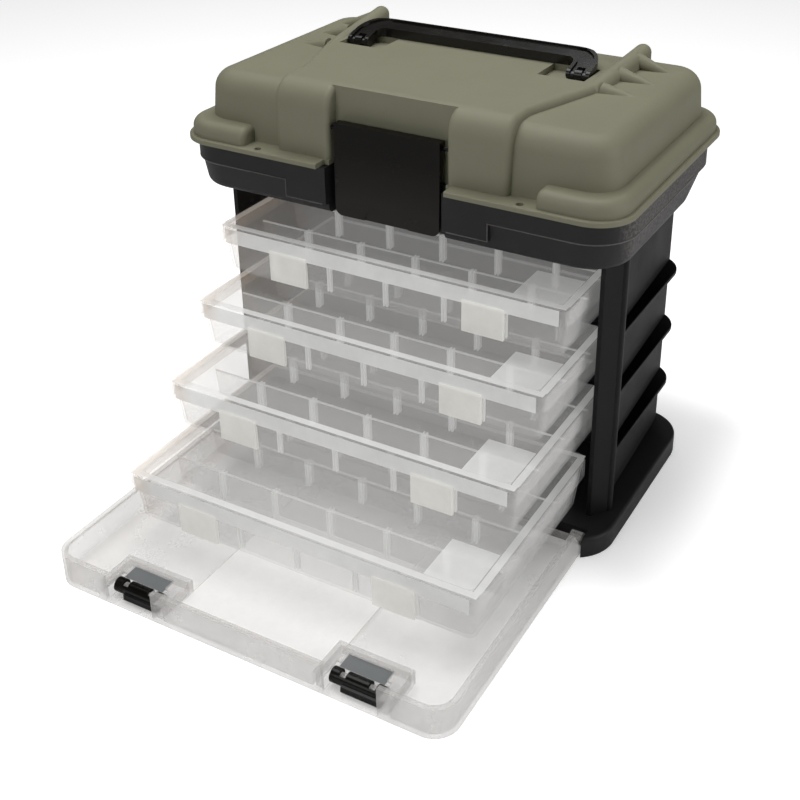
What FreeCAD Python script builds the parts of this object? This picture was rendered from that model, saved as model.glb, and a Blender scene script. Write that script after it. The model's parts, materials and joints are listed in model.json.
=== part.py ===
import FreeCAD, Part
import math
import os

# Tackle cabinet. X is to the right, Y to the back, Z up; all lengths are in millimetres.
# The origin is the centre of the base's underside. The cabinet stands open: its door lies flat
# in front of it, and its four utility boxes are pulled out by different amounts.

# Utility boxes
BOX_WIDTH = 356.0
BOX_DEPTH = 224.0
BOX_HEIGHT = 46.0
BOX_WALL = 1.6
BOX_PITCH = 61.0             # from one box to the next, upwards
BOX_RUN_CLEARANCE = 0.8      # under a box, over what carries it
BOX_HOME_Y = -114.5          # front of a box pushed fully in
BOX_PULLS = {"d": 160.8, "c": 96.0, "b": 46.3, "a": 6.4}    # from the lowest box up
BOX_FRONT_RADIUS = 8.0
BOX_REAR_RADIUS = 14.0
BOX_LID_SKIRT = 16.0
BOX_LID_BORDER = 9.0
BOX_LID_RECESS = 2.5
BOX_LID_FIT = 0.8            # lid skirt to body, sides and rear
BOX_LID_FRONT_FIT = 1.6      # the same at the front, where the skirt swings back as it lifts
BOX_LID_SEAT = 0.5           # lid plate over the body's rim
BOX_BODY_DRAFT = 4.5         # each wall leans in by this much towards the floor
BOX_ROW_PITCH = 52.5         # between the three long walls, which part the box into four rows
BOX_SPINE_DROP = 17.0        # top of the long walls below the top of the box
BOX_SLOT_COUNT = 5           # places for cross dividers along each wall
BOX_SLOT_PITCH = 59.0
BOX_SLOT_WIDTH = 1.8
BOX_SLOT_RIB = 1.2
BOX_SLOT_REACH = 3.0
BOX_LABEL_WIDTH = 45.0
BOX_LABEL_DEPTH = 50.0
BOX_LABEL_RISE = 0.8
BOX_LATCH_X = 100.0
BOX_LATCH_WIDTH = 40.0
BOX_LATCH_LENGTH = 29.0
BOX_LATCH_THICKNESS = 2.0
BOX_LATCH_CHEEK = 0.8        # cheeks' depth behind the plate; they swing past the body's rim
BOX_LATCH_KNUCKLE_RADIUS = 1.6
BOX_LATCH_GAP = 0.4
BOX_HINGE_X = 110.0
BOX_HINGE_KNUCKLE_RADIUS = 2.5
BOX_HINGE_KNUCKLE_LENGTH = 11.0
BOX_HINGE_PIN_RADIUS = 1.0
BOX_HINGE_DROP = 19.0        # hinge axis below the top of the box

# Base
BOX_SIDE_ROOM = 9.5          # from a box to the post beside it
POST_WIDTH = 16.0
BASE_MARGIN = 12.0           # the base's edge outside a post
BASE_WIDTH = BOX_WIDTH + 2 * (BOX_SIDE_ROOM + POST_WIDTH + BASE_MARGIN)
BASE_DEPTH = 238.0
BASE_HEIGHT = 20.0
BASE_FRONT_RADIUS = 40.0
BASE_REAR_RADIUS = 40.0
BASE_EDGE_FILLET = 3.0
BASE_SKIN = 3.5
BASE_RIM = 5.0               # width of the rim that it stands on
BASE_WEB = 8.0               # width of the two webs that cross under the deck
BASE_CHANNEL = 22.5          # room for the door's hinge, behind the front of the base

# Tower
POST_OUTER_X = BASE_WIDTH / 2 - BASE_MARGIN
POST_NOSE_X = POST_OUTER_X - 12    # where the flared front face begins
POST_INNER_X = POST_OUTER_X - POST_WIDTH
POST_DEPTH = 25.0
POST_FLARE_DEPTH = 16.0
POST_BEAD_RADIUS = 4.0
POST_FRONT_Y = -77.0
HEADER_HEIGHT = 6.0
HEADER_DEPTH = 10.0
HEADER_SETBACK = 15.0
PANEL_THICKNESS = 3.0
PANEL_FRONT_X = POST_INNER_X + 7    # outside of the side panel where it meets the post
PANEL_REAR_X = PANEL_FRONT_X - 6.5
PANEL_REAR_RADIUS = 14.0
PANEL_BACK_Y = 117.5
BACK_LAP = 4.0               # side panel's run along the back
BACK_FLANGE_DEPTH = 14.0
RIB_REACH = 7.0              # rib's reach from the panel where it starts behind the post
RIB_HEIGHT = 5.0
RIB_FILLET = 1.5
RIB_REAR_RADIUS = 30.0       # plan radius of the rib's rear end
RIB_REAR_Y = 112.4
RUNNER_THICKNESS = 3.2
BOX_LEDGE_WIDTH = 18.0       # how far a runner reaches in under a box
RUNNER_INNER_X = BOX_WIDTH / 2 - BOX_LEDGE_WIDTH
RUNNER_FRONT_Y = -46.0
RUNNER_REAR_Y = 88.0
RUNNER_SLOT_CLEARANCE = 0.3

# Top tray
TRAY_FLOOR_Z = 283.4
TRAY_HEIGHT = 44.5
TRAY_BAND_HEIGHT = 19.0
TRAY_WALL = 3.0
TRAY_FLOOR_HALF_WIDTH = BASE_WIDTH / 2 - 4
TRAY_FLOOR_FRONT_Y = -110.0
TRAY_FLOOR_REAR_Y = 118.0
TRAY_FRONT_RADIUS = 38.0
TRAY_FLOOR_REAR_RADIUS = 70.0
TRAY_TOP_REAR_RADIUS = 50.0
TRAY_SIDE_LEAN = 2.5
TRAY_FRONT_LEAN = 3.5
TRAY_REAR_LEAN = 22.5
TRAY_BAND_STEP = 2.5
TRAY_BAND_FILLET = 1.8
TRAY_DROP = 16.0             # the band comes lower in the middle of the front
TRAY_DROP_HALF_WIDTH = 101.0
TRAY_BOTTOM_FILLET = 6.0

# Lid
LID_SEAT_GAP = 0.3
FLANGE_WIDTH = BASE_WIDTH + 6
FLANGE_FRONT_Y = -122.0
FLANGE_REAR_Y = 156.7
FLANGE_RADIUS = 35.0
FLANGE_THICKNESS = 4.5
FLANGE_NOTCH_HALF_WIDTH = 63.0
LID_SKIRT_SETBACK_FRONT = 21.5
LID_SKIRT_SETBACK_SIDE = 16.0
LID_SKIRT_SETBACK_REAR = 14.0
LID_TOP_Z = 390.0
LID_DRAFT = 4.0
LID_SHOULDER = 19.0
LID_WALL = 3.0
PLATEAU_RISE = 7.3
PLATEAU_TOP_Z = LID_TOP_Z + PLATEAU_RISE
PLATEAU_BAND_HALF_WIDTH = 114.0
PLATEAU_HALF_WIDTH = 141.0
PLATEAU_FRONT_Y = -108.0
PLATEAU_WAIST_Y = -66.0
PLATEAU_SHOULDER_Y = 20.0
PLATEAU_REAR_Y = 89.0
PLATEAU_BROW = 20.0
PLATEAU_EDGE_FILLET = 6.0
ROLL_RADIUS = 9.0
ROLL_HEIGHT = 15.0
ROLL_SETBACK = 4.0
ROLL_END_X = 143.0
RIDGE_RADIUS = 8.0
RIDGE_X = 141.0
RIDGE_START_X = 134.0
RIDGE_START_Y = 18.0
RIDGE_PEAK_Y = 118.0
RIDGE_RISE = 9.7
RIDGE_PEAK_Z = PLATEAU_TOP_Z + RIDGE_RISE
GUSSET_LENGTH = 41.0
GUSSET_TIP_Z = 386.0
GUSSET_RADIUS = 7.5
GUSSET_Y = (21.0, 60.0, 99.0)
TAB_HOLE_X = 129.0
TAB_HOLE_RADIUS = 3.2

# Lid hinge
LID_HINGE_X = 105.0
LID_HINGE_RADIUS = 5.5
LID_HINGE_SETBACK = 6.3      # axis behind the flange
LID_HINGE_KNUCKLE = 14.0     # length of each lid knuckle
LID_HINGE_TRAY_KNUCKLE = 23.0
LID_HINGE_GAP = 0.5
LID_HINGE_PIN_RADIUS = 2.5
RUNNING_CLEARANCE = 0.05

# Main latch
RECESS_HALF_WIDTH = 58.0
RECESS_BACK_Y = -93.3
RECESS_LEAN = 3.0
RECESS_EDGE_FILLET = 5.0
LATCH_HALF_WIDTH = 52.0
LATCH_TOP_Z = 367.8
LATCH_BOTTOM_Z = 283.8
LATCH_BEND_Z = 322.0
LATCH_FRONT_Y = -107.8
LATCH_BOTTOM_Y = -110.0
LATCH_THICKNESS = 3.0
LATCH_CORNER_RADIUS = 7.0
LATCH_CHEEK = 9.0            # depth of the side cheeks
LATCH_AXIS_Y = -101.8
LATCH_AXIS_Z = 361.8
LATCH_PIN_RADIUS = 2.0
LATCH_FINGER_HALF_WIDTH = 22.0
LATCH_FINGER_HEIGHT = 15.0
LATCH_LIP_Z = 306.0
LATCH_LIP_THICKNESS = 4.0
LATCH_LIP_HALF_WIDTH = 20.0
LATCH_LIP_GAP = 2.0          # hook to catch, upwards
LATCH_SNAP_GAP = 0.5         # hook to catch, from front to back
CATCH_THICKNESS = 3.0
CATCH_REACH = 1.6
POCKET_DEPTH_Y = -101.0      # back of the tray's pocket for the latch

# Handle
HANDLE_HALF_WIDTH = 124.5
HANDLE_AXIS_Y = 34.0
HANDLE_REAR_Y = 72.0
HANDLE_GRIP = 20.0            # grip's width, front to back
HANDLE_ARM = 22.0
HANDLE_THICKNESS = 12.5
HANDLE_RADIUS = 28.0
HANDLE_SURFACE_GAP = 0.5
HANDLE_WALL = 3.0
HANDLE_RIM = 3.5              # raised edge round the top of the handle
HANDLE_DISH = 2.0             # depth between those edges
HANDLE_FOOT_RADIUS = 4.8      # rounded end of an arm, round the pivot
HANDLE_RISE_Y = 66.0          # where the arms' slope reaches the top
HANDLE_PIVOT_RADIUS = 2.5
HANDLE_POCKET_INNER_X = 81.0
HANDLE_POCKET_GAP = 1.2       # outside of the handle to the side of its pocket
HANDLE_POCKET_FRONT_Y = 16.5
HANDLE_POCKET_REAR_Y = 54.0
HANDLE_POCKET_DEPTH = 6.0
BRACKET_WIDTH = 7.0
BRACKET_X = 113.5
BRACKET_WALL = 2.0
BRACKET_SLOT_GAP = 0.3        # bracket to the slot in the arm, each side
BRACKET_SLOT_REAR = 7.0       # slot's reach behind the pivot

# Door, lying flat
DOOR_HALF_WIDTH = BASE_WIDTH / 2 - 20
DOOR_FRONT_Y = -358.9
DOOR_LIFT = 0.5
DOOR_PANEL = 2.5
DOOR_RIM_Z = 29.5
DOOR_WALL = 2.4
DOOR_CORNER_RADIUS = 22.0
DOOR_LIP = 3.0
DOOR_LIP_THICKNESS = 2.0
DOOR_HINGE_SETBACK = 15.0    # axis behind the front of the base
DOOR_HINGE_Z = 14.0
DOOR_HINGE_RADIUS = 6.0
DOOR_EAR_WIDTH = 11.0
DOOR_PIN_GRIP = 6.0          # pin's run into the base
DOOR_PIN_RADIUS = 2.5
DOOR_SIDE_GAP = 2.0          # door to the horns of the base
DOOR_REAR_WALL_Z = 18.0
DOOR_PAD_HALF_WIDTH = 76.0
DOOR_PAD_FRONT_Y = -335.0
DOOR_PAD_REAR_Y = -165.0
DOOR_PAD_RISE = 1.2
DOOR_LATCH_X = 110.0
DOOR_LATCH_LENGTH = 48.0
DOOR_LATCH_RADIUS = 6.5
DOOR_LATCH_PIN_RADIUS = 1.5
DOOR_LATCH_AXIS_Z = 9.5
DOOR_LATCH_SETBACK = 15.0    # axis behind the front of the door
DOOR_LATCH_NOTCH_GAP = 1.0
DOOR_LATCH_PADDLE = 9.0
DOOR_LATCH_BOSS_X = 13.5     # bosses either side of the latch's middle
DOOR_LATCH_BOSS_WIDTH = 6.0
DOOR_LATCH_BOSS_RADIUS = 4.0
DOOR_HOUSING_HALF_WIDTH = 35.0
DOOR_HOUSING_DEPTH = 42.0
DOOR_HOUSING_TOP_Z = 17.0
DOOR_WINDOW_HALF_WIDTH = 21.0
DOOR_WINDOW_DEPTH = 15.0

# Screws
SCREW_RADIUS = 2.0
SCREW_HEAD_RADIUS = 4.0
SCREW_HEAD_HEIGHT = 2.4
SCREW_LENGTH = 8.0
TRAY_SCREW_X = (60.0, 160.0)
BASE_SCREW_GRIP = 12.0
BASE_SCREW_SETBACK = 8.0     # in front of the back of the post

FRONT_Y = -BASE_DEPTH / 2
DOOR_AXIS_Y = FRONT_Y + DOOR_HINGE_SETBACK
TRAY_TOP_Z = TRAY_FLOOR_Z + TRAY_HEIGHT
FLANGE_Z = TRAY_TOP_Z + LID_SEAT_GAP
FLANGE_TOP_Z = FLANGE_Z + FLANGE_THICKNESS
DECK_BOX_Z = BASE_HEIGHT + BOX_RUN_CLEARANCE
LID_HINGE_Y = FLANGE_REAR_Y + LID_HINGE_SETBACK
HANDLE_Z = PLATEAU_TOP_Z + HANDLE_SURFACE_GAP
HANDLE_POCKET_Z = PLATEAU_TOP_Z - HANDLE_POCKET_DEPTH
HANDLE_AXIS_Z = HANDLE_POCKET_Z + HANDLE_SURFACE_GAP + HANDLE_FOOT_RADIUS

X_AXIS = FreeCAD.Vector(1, 0, 0)


def block(x0, x1, y0, y1, z0, z1):
    return Part.makeBox(x1 - x0, y1 - y0, z1 - z0, FreeCAD.Vector(x0, y0, z0))


def rod(radius, x0, x1, y, z):
    """A cylinder along X."""
    return Part.makeCylinder(radius, x1 - x0, FreeCAD.Vector(x0, y, z), X_AXIS)


def mirrored(shape):
    return shape.mirror(FreeCAD.Vector(0, 0, 0), X_AXIS)


def outline(half_width, front, rear, front_radius, rear_radius, z):
    """A rounded rectangle, as a closed wire at height z."""
    left, right = -half_width, half_width
    corners = (
        (right, front, front_radius, -1, 1),
        (right, rear, rear_radius, -1, -1),
        (left, rear, rear_radius, 1, -1),
        (left, front, front_radius, 1, 1),
    )
    start_angles = (270, 0, 90, 180)
    arcs, ends = [], []
    for (x, y, r, sx, sy), start in zip(corners, start_angles):
        centre = (x + sx * r, y + sy * r)
        points = []
        for angle in (start, start + 45, start + 90):
            a = math.radians(angle)
            points.append(FreeCAD.Vector(centre[0] + r * math.cos(a), centre[1] + r * math.sin(a), z))
        arcs.append(Part.Arc(*points).toShape())
        ends.append((points[0], points[2]))
    edges = []
    for i, arc in enumerate(arcs):
        edges.append(arc)
        edges.append(Part.LineSegment(ends[i][1], ends[(i + 1) % 4][0]).toShape())
    return Part.Wire(edges)


def slab(half_width, front, rear, front_radius, rear_radius, z0, z1):
    face = Part.Face(outline(half_width, front, rear, front_radius, rear_radius, z0))
    return face.extrude(FreeCAD.Vector(0, 0, z1 - z0))


def prism(points, z0, z1):
    """A polygon seen from above, extruded upwards."""
    wire = Part.makePolygon([FreeCAD.Vector(x, y, z0) for x, y in points + points[:1]])
    return Part.Face(wire).extrude(FreeCAD.Vector(0, 0, z1 - z0))


def profile(points, x0, x1):
    """A polygon in the YZ plane, extruded along X."""
    wire = Part.makePolygon([FreeCAD.Vector(x0, y, z) for y, z in points + points[:1]])
    return Part.Face(wire).extrude(FreeCAD.Vector(x1 - x0, 0, 0))


def edges_at(shape, test):
    """The edges whose two ends and middle all pass the test."""
    found = []
    for edge in shape.Edges:
        points = [v.Point for v in edge.Vertexes]
        points.append(edge.valueAt((edge.FirstParameter + edge.LastParameter) / 2))
        if all(test(p) for p in points):
            found.append(edge)
    return found


def rounded(shape, radius, test):
    return shape.makeFillet(radius, edges_at(shape, test))


def near(a, b):
    return abs(a - b) < 0.01


def save(name, *shapes):
    solids = [s for shape in shapes for s in shape.Solids]
    for s in solids:
        if not s.isValid() or s.Volume <= 0:
            raise ValueError(name + " has a bad solid")
    part = solids[0] if len(solids) == 1 else Part.makeCompound(solids)
    part.exportStep("parts/" + name + ".step")
    b = part.BoundBox
    print(f"{name}: {len(solids)} solid, {part.Volume / 1000:.1f} cm3, "
          f"x {b.XMin:.1f}..{b.XMax:.1f} y {b.YMin:.1f}..{b.YMax:.1f} z {b.ZMin:.1f}..{b.ZMax:.1f}")


# ---- Base ----

def base():
    """A hollow plinth. Its front is open between two horns, which carry the door's pins."""
    half, rear = BASE_WIDTH / 2, BASE_DEPTH / 2
    body = slab(half, FRONT_Y, rear, BASE_FRONT_RADIUS, BASE_REAR_RADIUS, 0, BASE_HEIGHT)
    body = rounded(body, BASE_EDGE_FILLET, lambda p: near(p.z, BASE_HEIGHT))
    hollow = slab(half - BASE_RIM, FRONT_Y + BASE_RIM, rear - BASE_RIM,
                  BASE_FRONT_RADIUS - BASE_RIM, BASE_REAR_RADIUS - BASE_RIM,
                  0, BASE_HEIGHT - BASE_SKIN)
    channel_y = FRONT_Y + BASE_CHANNEL
    horn_x = DOOR_HALF_WIDTH + DOOR_SIDE_GAP
    front = block(-half, half, FRONT_Y, channel_y + BASE_RIM, 0, BASE_HEIGHT)
    webs = [block(-half, half, -BASE_WEB / 2, BASE_WEB / 2, 0, BASE_HEIGHT),
            block(-BASE_WEB / 2, BASE_WEB / 2, FRONT_Y, rear, 0, BASE_HEIGHT)]
    body = body.cut(hollow.cut([front] + webs))
    body = body.cut(block(-horn_x, horn_x, FRONT_Y - 1, channel_y, -1, BASE_HEIGHT + 1))
    for side in (-1, 1):
        x0, x1 = sorted((side * (horn_x - 1), side * (horn_x + DOOR_PIN_GRIP)))
        body = body.cut(rod(DOOR_PIN_RADIUS, x0, x1, DOOR_AXIS_Y, DOOR_HINGE_Z))
        x, y = base_screw_place(side)
        body = body.cut(Part.makeCylinder(SCREW_RADIUS, BASE_HEIGHT + 1, FreeCAD.Vector(x, y, -0.5)))
    return body.removeSplitter()


def base_screw_place(side):
    """Under the middle of a post."""
    return side * (POST_INNER_X + POST_OUTER_X) / 2, POST_FRONT_Y + POST_DEPTH - BASE_SCREW_SETBACK


def screw(x, y, z, length, direction):
    """A pan-head screw: its head's seat is at z, and its shank runs along Z in the direction given."""
    down = FreeCAD.Vector(0, 0, direction)
    head = Part.makeCylinder(SCREW_HEAD_RADIUS, SCREW_HEAD_HEIGHT, FreeCAD.Vector(x, y, z), -down)
    shank = Part.makeCylinder(SCREW_RADIUS, length, FreeCAD.Vector(x, y, z), down)
    return head.fuse(shank).removeSplitter()


def base_screws():
    seat = BASE_HEIGHT - BASE_SKIN
    return [screw(*base_screw_place(side), seat, BASE_SKIN + BASE_SCREW_GRIP, 1) for side in (-1, 1)]


# ---- Tower ----

def post():
    """The right-hand post: its front face flares outwards to a bead."""
    rear = POST_FRONT_Y + POST_DEPTH
    flare_y = POST_FRONT_Y + POST_FLARE_DEPTH
    points = [(POST_INNER_X, POST_FRONT_Y), (POST_NOSE_X, POST_FRONT_Y), (POST_OUTER_X, flare_y),
              (POST_OUTER_X, rear - POST_BEAD_RADIUS), (POST_OUTER_X - POST_BEAD_RADIUS, rear),
              (POST_INNER_X, rear)]
    body = prism(points, BASE_HEIGHT, TRAY_FLOOR_Z)
    bead = Part.makeCylinder(POST_BEAD_RADIUS, TRAY_FLOOR_Z - BASE_HEIGHT, FreeCAD.Vector(
        POST_OUTER_X - POST_BEAD_RADIUS / 2, flare_y + POST_BEAD_RADIUS / 2, BASE_HEIGHT))
    body = body.fuse(bead)
    x, y = base_screw_place(1)
    return body.cut(Part.makeCylinder(SCREW_RADIUS, BASE_SCREW_GRIP, FreeCAD.Vector(x, y, BASE_HEIGHT)))


def header_y():
    y0 = POST_FRONT_Y + HEADER_SETBACK
    return y0, y0 + HEADER_DEPTH


def tray_screw_hole(x, y):
    return Part.makeCylinder(SCREW_RADIUS, SCREW_LENGTH, FreeCAD.Vector(x, y, TRAY_FLOOR_Z - SCREW_LENGTH))


def front_frame():
    right = post()
    y0, y1 = header_y()
    header = block(-POST_INNER_X - 1, POST_INNER_X + 1, y0, y1,
                   TRAY_FLOOR_Z - HEADER_HEIGHT, TRAY_FLOOR_Z)
    frame = header.fuse([right, mirrored(right)])
    for x, y in tray_screw_places():
        if y < 0:
            frame = frame.cut(tray_screw_hole(x, y))
    return frame.removeSplitter()


def side_path(offset):
    """The side panel's plan, from the post to the back, offset outwards: a line, an arc and a line."""
    r = PANEL_REAR_RADIUS + offset
    cx, cy = PANEL_REAR_X - PANEL_REAR_RADIUS, PANEL_BACK_Y - PANEL_REAR_RADIUS
    start = FreeCAD.Vector(PANEL_FRONT_X + offset, POST_FRONT_Y + POST_DEPTH, 0)
    turn = FreeCAD.Vector(cx + r, cy, 0)
    middle = FreeCAD.Vector(cx + r * math.sqrt(0.5), cy + r * math.sqrt(0.5), 0)
    rear = FreeCAD.Vector(cx, cy + r, 0)
    end = FreeCAD.Vector(cx - BACK_LAP, cy + r, 0)
    return start, turn, middle, rear, end


def strip_between(outer, inner, z0, z1):
    """A wall between two side paths."""
    def run(path):
        start, turn, middle, rear, end = path
        return [Part.LineSegment(start, turn).toShape(), Part.Arc(turn, middle, rear).toShape(),
                Part.LineSegment(rear, end).toShape()]

    closing = [Part.LineSegment(outer[4], inner[4]).toShape(),
               Part.LineSegment(inner[0], outer[0]).toShape()]
    wire = Part.Wire(Part.__sortEdges__(run(outer) + run(inner) + closing))
    wall = Part.Face(wire).extrude(FreeCAD.Vector(0, 0, z1 - z0))
    wall.translate(FreeCAD.Vector(0, 0, z0))
    return wall


def runner_levels():
    """Undersides of the boxes that hang on runners: all but the lowest."""
    return [DECK_BOX_Z + BOX_PITCH * n for n in range(1, len(BOX_PULLS))]


def side_panel():
    panel = strip_between(side_path(0), side_path(-PANEL_THICKNESS), BASE_HEIGHT, TRAY_FLOOR_Z)
    c = RUNNER_SLOT_CLEARANCE
    for z in runner_levels():
        top = z - BOX_RUN_CLEARANCE
        panel = panel.cut(block(RUNNER_INNER_X, BASE_WIDTH / 2, RUNNER_FRONT_Y - c, RUNNER_REAR_Y + c,
                                top - RUNNER_THICKNESS - c, top + c))
    return panel


def inside_of_panels(z0, z1):
    """All that the right-hand side panel's outside encloses, as far as the middle of the cabinet."""
    start, turn, middle, rear, end = side_path(0)
    front_middle, rear_middle = FreeCAD.Vector(0, start.y, 0), FreeCAD.Vector(0, end.y, 0)
    edges = [Part.LineSegment(start, turn).toShape(), Part.Arc(turn, middle, rear).toShape(),
             Part.LineSegment(rear, rear_middle).toShape(),
             Part.LineSegment(rear_middle, front_middle).toShape(),
             Part.LineSegment(front_middle, start).toShape()]
    core = Part.Face(Part.Wire(edges)).extrude(FreeCAD.Vector(0, 0, z1 - z0))
    core.translate(FreeCAD.Vector(0, 0, z0))
    return core


def rib(top):
    """The outer rib: a thin ledge with a straight edge, which curves in to the panel's rear corner."""
    outer_x, front = PANEL_FRONT_X + RIB_REACH, POST_FRONT_Y + POST_DEPTH
    low = top - RIB_HEIGHT
    body = block(outer_x - 2 * RIB_REAR_RADIUS, outer_x, front, RIB_REAR_Y, low, top)
    body = rounded(body, RIB_REAR_RADIUS, lambda p: near(p.x, outer_x) and near(p.y, RIB_REAR_Y))

    def on_outer_edge(p):
        along = near(p.x, outer_x) or p.y > RIB_REAR_Y - RIB_REAR_RADIUS - 0.01
        return along and (near(p.z, low) or near(p.z, top)) and p.x > outer_x - RIB_REAR_RADIUS - 0.01

    return rounded(body, RIB_FILLET, on_outer_edge).cut(inside_of_panels(low - 1, top + 1))


def runner(z):
    """A ledge under the box, which runs through the panel's slot to the rib outside."""
    top = z - BOX_RUN_CLEARANCE
    ledge = block(RUNNER_INNER_X, PANEL_FRONT_X + 1, RUNNER_FRONT_Y, RUNNER_REAR_Y,
                  top - RUNNER_THICKNESS, top)
    return ledge.fuse(rib(top)).removeSplitter()


def back_panel():
    """A flat sheet between the side panels, with flanges for the screws to the base and the tray."""
    half = PANEL_REAR_X - PANEL_REAR_RADIUS - BACK_LAP
    inner_y = PANEL_BACK_Y - PANEL_THICKNESS
    body = block(-half, half, inner_y, PANEL_BACK_Y, BASE_HEIGHT, TRAY_FLOOR_Z)
    top_flange = block(-half, half, inner_y - BACK_FLANGE_DEPTH, inner_y,
                       TRAY_FLOOR_Z - HEADER_HEIGHT, TRAY_FLOOR_Z)
    body = body.fuse(top_flange)
    for x, y in tray_screw_places():
        if y > 0:
            body = body.cut(tray_screw_hole(x, y))
    return body.removeSplitter()


def tray_screw_places():
    front = sum(header_y()) / 2
    rear = PANEL_BACK_Y - PANEL_THICKNESS - BACK_FLANGE_DEPTH / 2
    return [(side * x, y) for side in (-1, 1) for x in TRAY_SCREW_X for y in (front, rear)]


def tray_screws():
    seat = TRAY_FLOOR_Z + TRAY_WALL
    return [screw(x, y, seat, SCREW_LENGTH, -1) for x, y in tray_screw_places()]


# ---- Top tray ----

def tray_outer(inset, z_low):
    """Leaning walls up to the band; inset makes the same shape smaller for the cavity."""
    low = outline(TRAY_FLOOR_HALF_WIDTH - inset, TRAY_FLOOR_FRONT_Y + inset, TRAY_FLOOR_REAR_Y - inset,
                  TRAY_FRONT_RADIUS - inset, TRAY_FLOOR_REAR_RADIUS - inset, z_low)
    high = outline(TRAY_FLOOR_HALF_WIDTH + TRAY_SIDE_LEAN - inset,
                   TRAY_FLOOR_FRONT_Y - TRAY_FRONT_LEAN + inset,
                   TRAY_FLOOR_REAR_Y + TRAY_REAR_LEAN - inset,
                   TRAY_FRONT_RADIUS - inset, TRAY_TOP_REAR_RADIUS - inset, TRAY_TOP_Z - TRAY_BAND_HEIGHT)
    return Part.makeLoft([low, high], True, True)


def tray_band(inset, z0, z1):
    step = TRAY_BAND_STEP
    return slab(TRAY_FLOOR_HALF_WIDTH + TRAY_SIDE_LEAN + step - inset,
                TRAY_FLOOR_FRONT_Y - TRAY_FRONT_LEAN - step + inset,
                TRAY_FLOOR_REAR_Y + TRAY_REAR_LEAN + step - inset,
                TRAY_FRONT_RADIUS + step - inset, TRAY_TOP_REAR_RADIUS + step - inset, z0, z1)


def tray_drop(band_z):
    """The middle of the front, where the band's face comes lower."""
    half, low = TRAY_DROP_HALF_WIDTH, band_z - TRAY_DROP
    face = TRAY_FLOOR_FRONT_Y - TRAY_FRONT_LEAN - TRAY_BAND_STEP
    drop = block(-half, half, face, TRAY_FLOOR_FRONT_Y + 3, low, band_z + TRAY_BAND_FILLET + 1)
    return rounded(drop, TRAY_BAND_FILLET,
                   lambda p: near(p.y, face) and (near(p.z, low) or near(abs(p.x), half)))


def tray():
    band_z = TRAY_TOP_Z - TRAY_BAND_HEIGHT
    outer = tray_outer(0, TRAY_FLOOR_Z)
    outer = rounded(outer, TRAY_BOTTOM_FILLET, lambda p: near(p.z, TRAY_FLOOR_Z))
    band = rounded(tray_band(0, band_z, TRAY_TOP_Z), TRAY_BAND_FILLET, lambda p: near(p.z, band_z))
    outer = outer.fuse([band, tray_drop(band_z)]).removeSplitter()
    cavity = tray_outer(TRAY_WALL, TRAY_FLOOR_Z + TRAY_WALL)
    body = outer.cut(cavity).cut(tray_band(TRAY_WALL + TRAY_BAND_STEP, band_z - 0.01, TRAY_TOP_Z + 1))
    pocket_x = RECESS_HALF_WIDTH
    pocket = block(-pocket_x - TRAY_WALL, pocket_x + TRAY_WALL, FLANGE_FRONT_Y,
                   POCKET_DEPTH_Y + TRAY_WALL, TRAY_FLOOR_Z, TRAY_TOP_Z)
    body = body.fuse(pocket.common(outer))
    body = body.cut(block(-pocket_x, pocket_x, FLANGE_FRONT_Y - 1, POCKET_DEPTH_Y,
                          TRAY_FLOOR_Z - 1, TRAY_TOP_Z + 1))
    catch_z = LATCH_LIP_Z + LATCH_LIP_THICKNESS + LATCH_LIP_GAP
    catch = block(-LATCH_LIP_HALF_WIDTH, LATCH_LIP_HALF_WIDTH, POCKET_DEPTH_Y - CATCH_REACH,
                  POCKET_DEPTH_Y + 1, catch_z, catch_z + CATCH_THICKNESS)
    body = body.fuse(catch)
    for x, y in tray_screw_places():
        body = body.cut(Part.makeCylinder(SCREW_RADIUS, TRAY_WALL + 1,
                                          FreeCAD.Vector(x, y, TRAY_FLOOR_Z - 0.5)))
    for side in (-1, 1):
        body = body.fuse(tray_knuckle(side * LID_HINGE_X))
        body = body.cut(hinge_rod(side * LID_HINGE_X, LID_HINGE_PIN_RADIUS, 1))
    return body.removeSplitter()


# ---- Lid hinge ----

def hinge_rod(x, radius, extra=0):
    half = hinge_half_length() + extra
    return rod(radius, x - half, x + half, LID_HINGE_Y, FLANGE_Z)


def hinge_half_length():
    return LID_HINGE_TRAY_KNUCKLE / 2 + LID_HINGE_GAP + LID_HINGE_KNUCKLE


def tray_knuckle(x):
    half = LID_HINGE_TRAY_KNUCKLE / 2
    barrel = rod(LID_HINGE_RADIUS, x - half, x + half, LID_HINGE_Y, FLANGE_Z)
    wall_y = TRAY_FLOOR_REAR_Y + TRAY_REAR_LEAN
    web = block(x - half, x + half, wall_y, LID_HINGE_Y,
                FLANGE_Z - LID_HINGE_RADIUS, FLANGE_Z - 2 * LID_SEAT_GAP - 0.5)
    return barrel.fuse(web)


def lid_knuckles(x):
    """Two knuckles, one on each side of the tray's, each with a web under the flange's edge."""
    near_x = LID_HINGE_TRAY_KNUCKLE / 2 + LID_HINGE_GAP
    pieces = []
    for side in (-1, 1):
        x0, x1 = sorted((x + side * near_x, x + side * (near_x + LID_HINGE_KNUCKLE)))
        barrel = rod(LID_HINGE_RADIUS, x0, x1, LID_HINGE_Y, FLANGE_Z)
        web = block(x0, x1, FLANGE_REAR_Y - 6, LID_HINGE_Y, FLANGE_Z, FLANGE_TOP_Z)
        pieces += [barrel, web]
    return pieces


# ---- Lid ----

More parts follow.
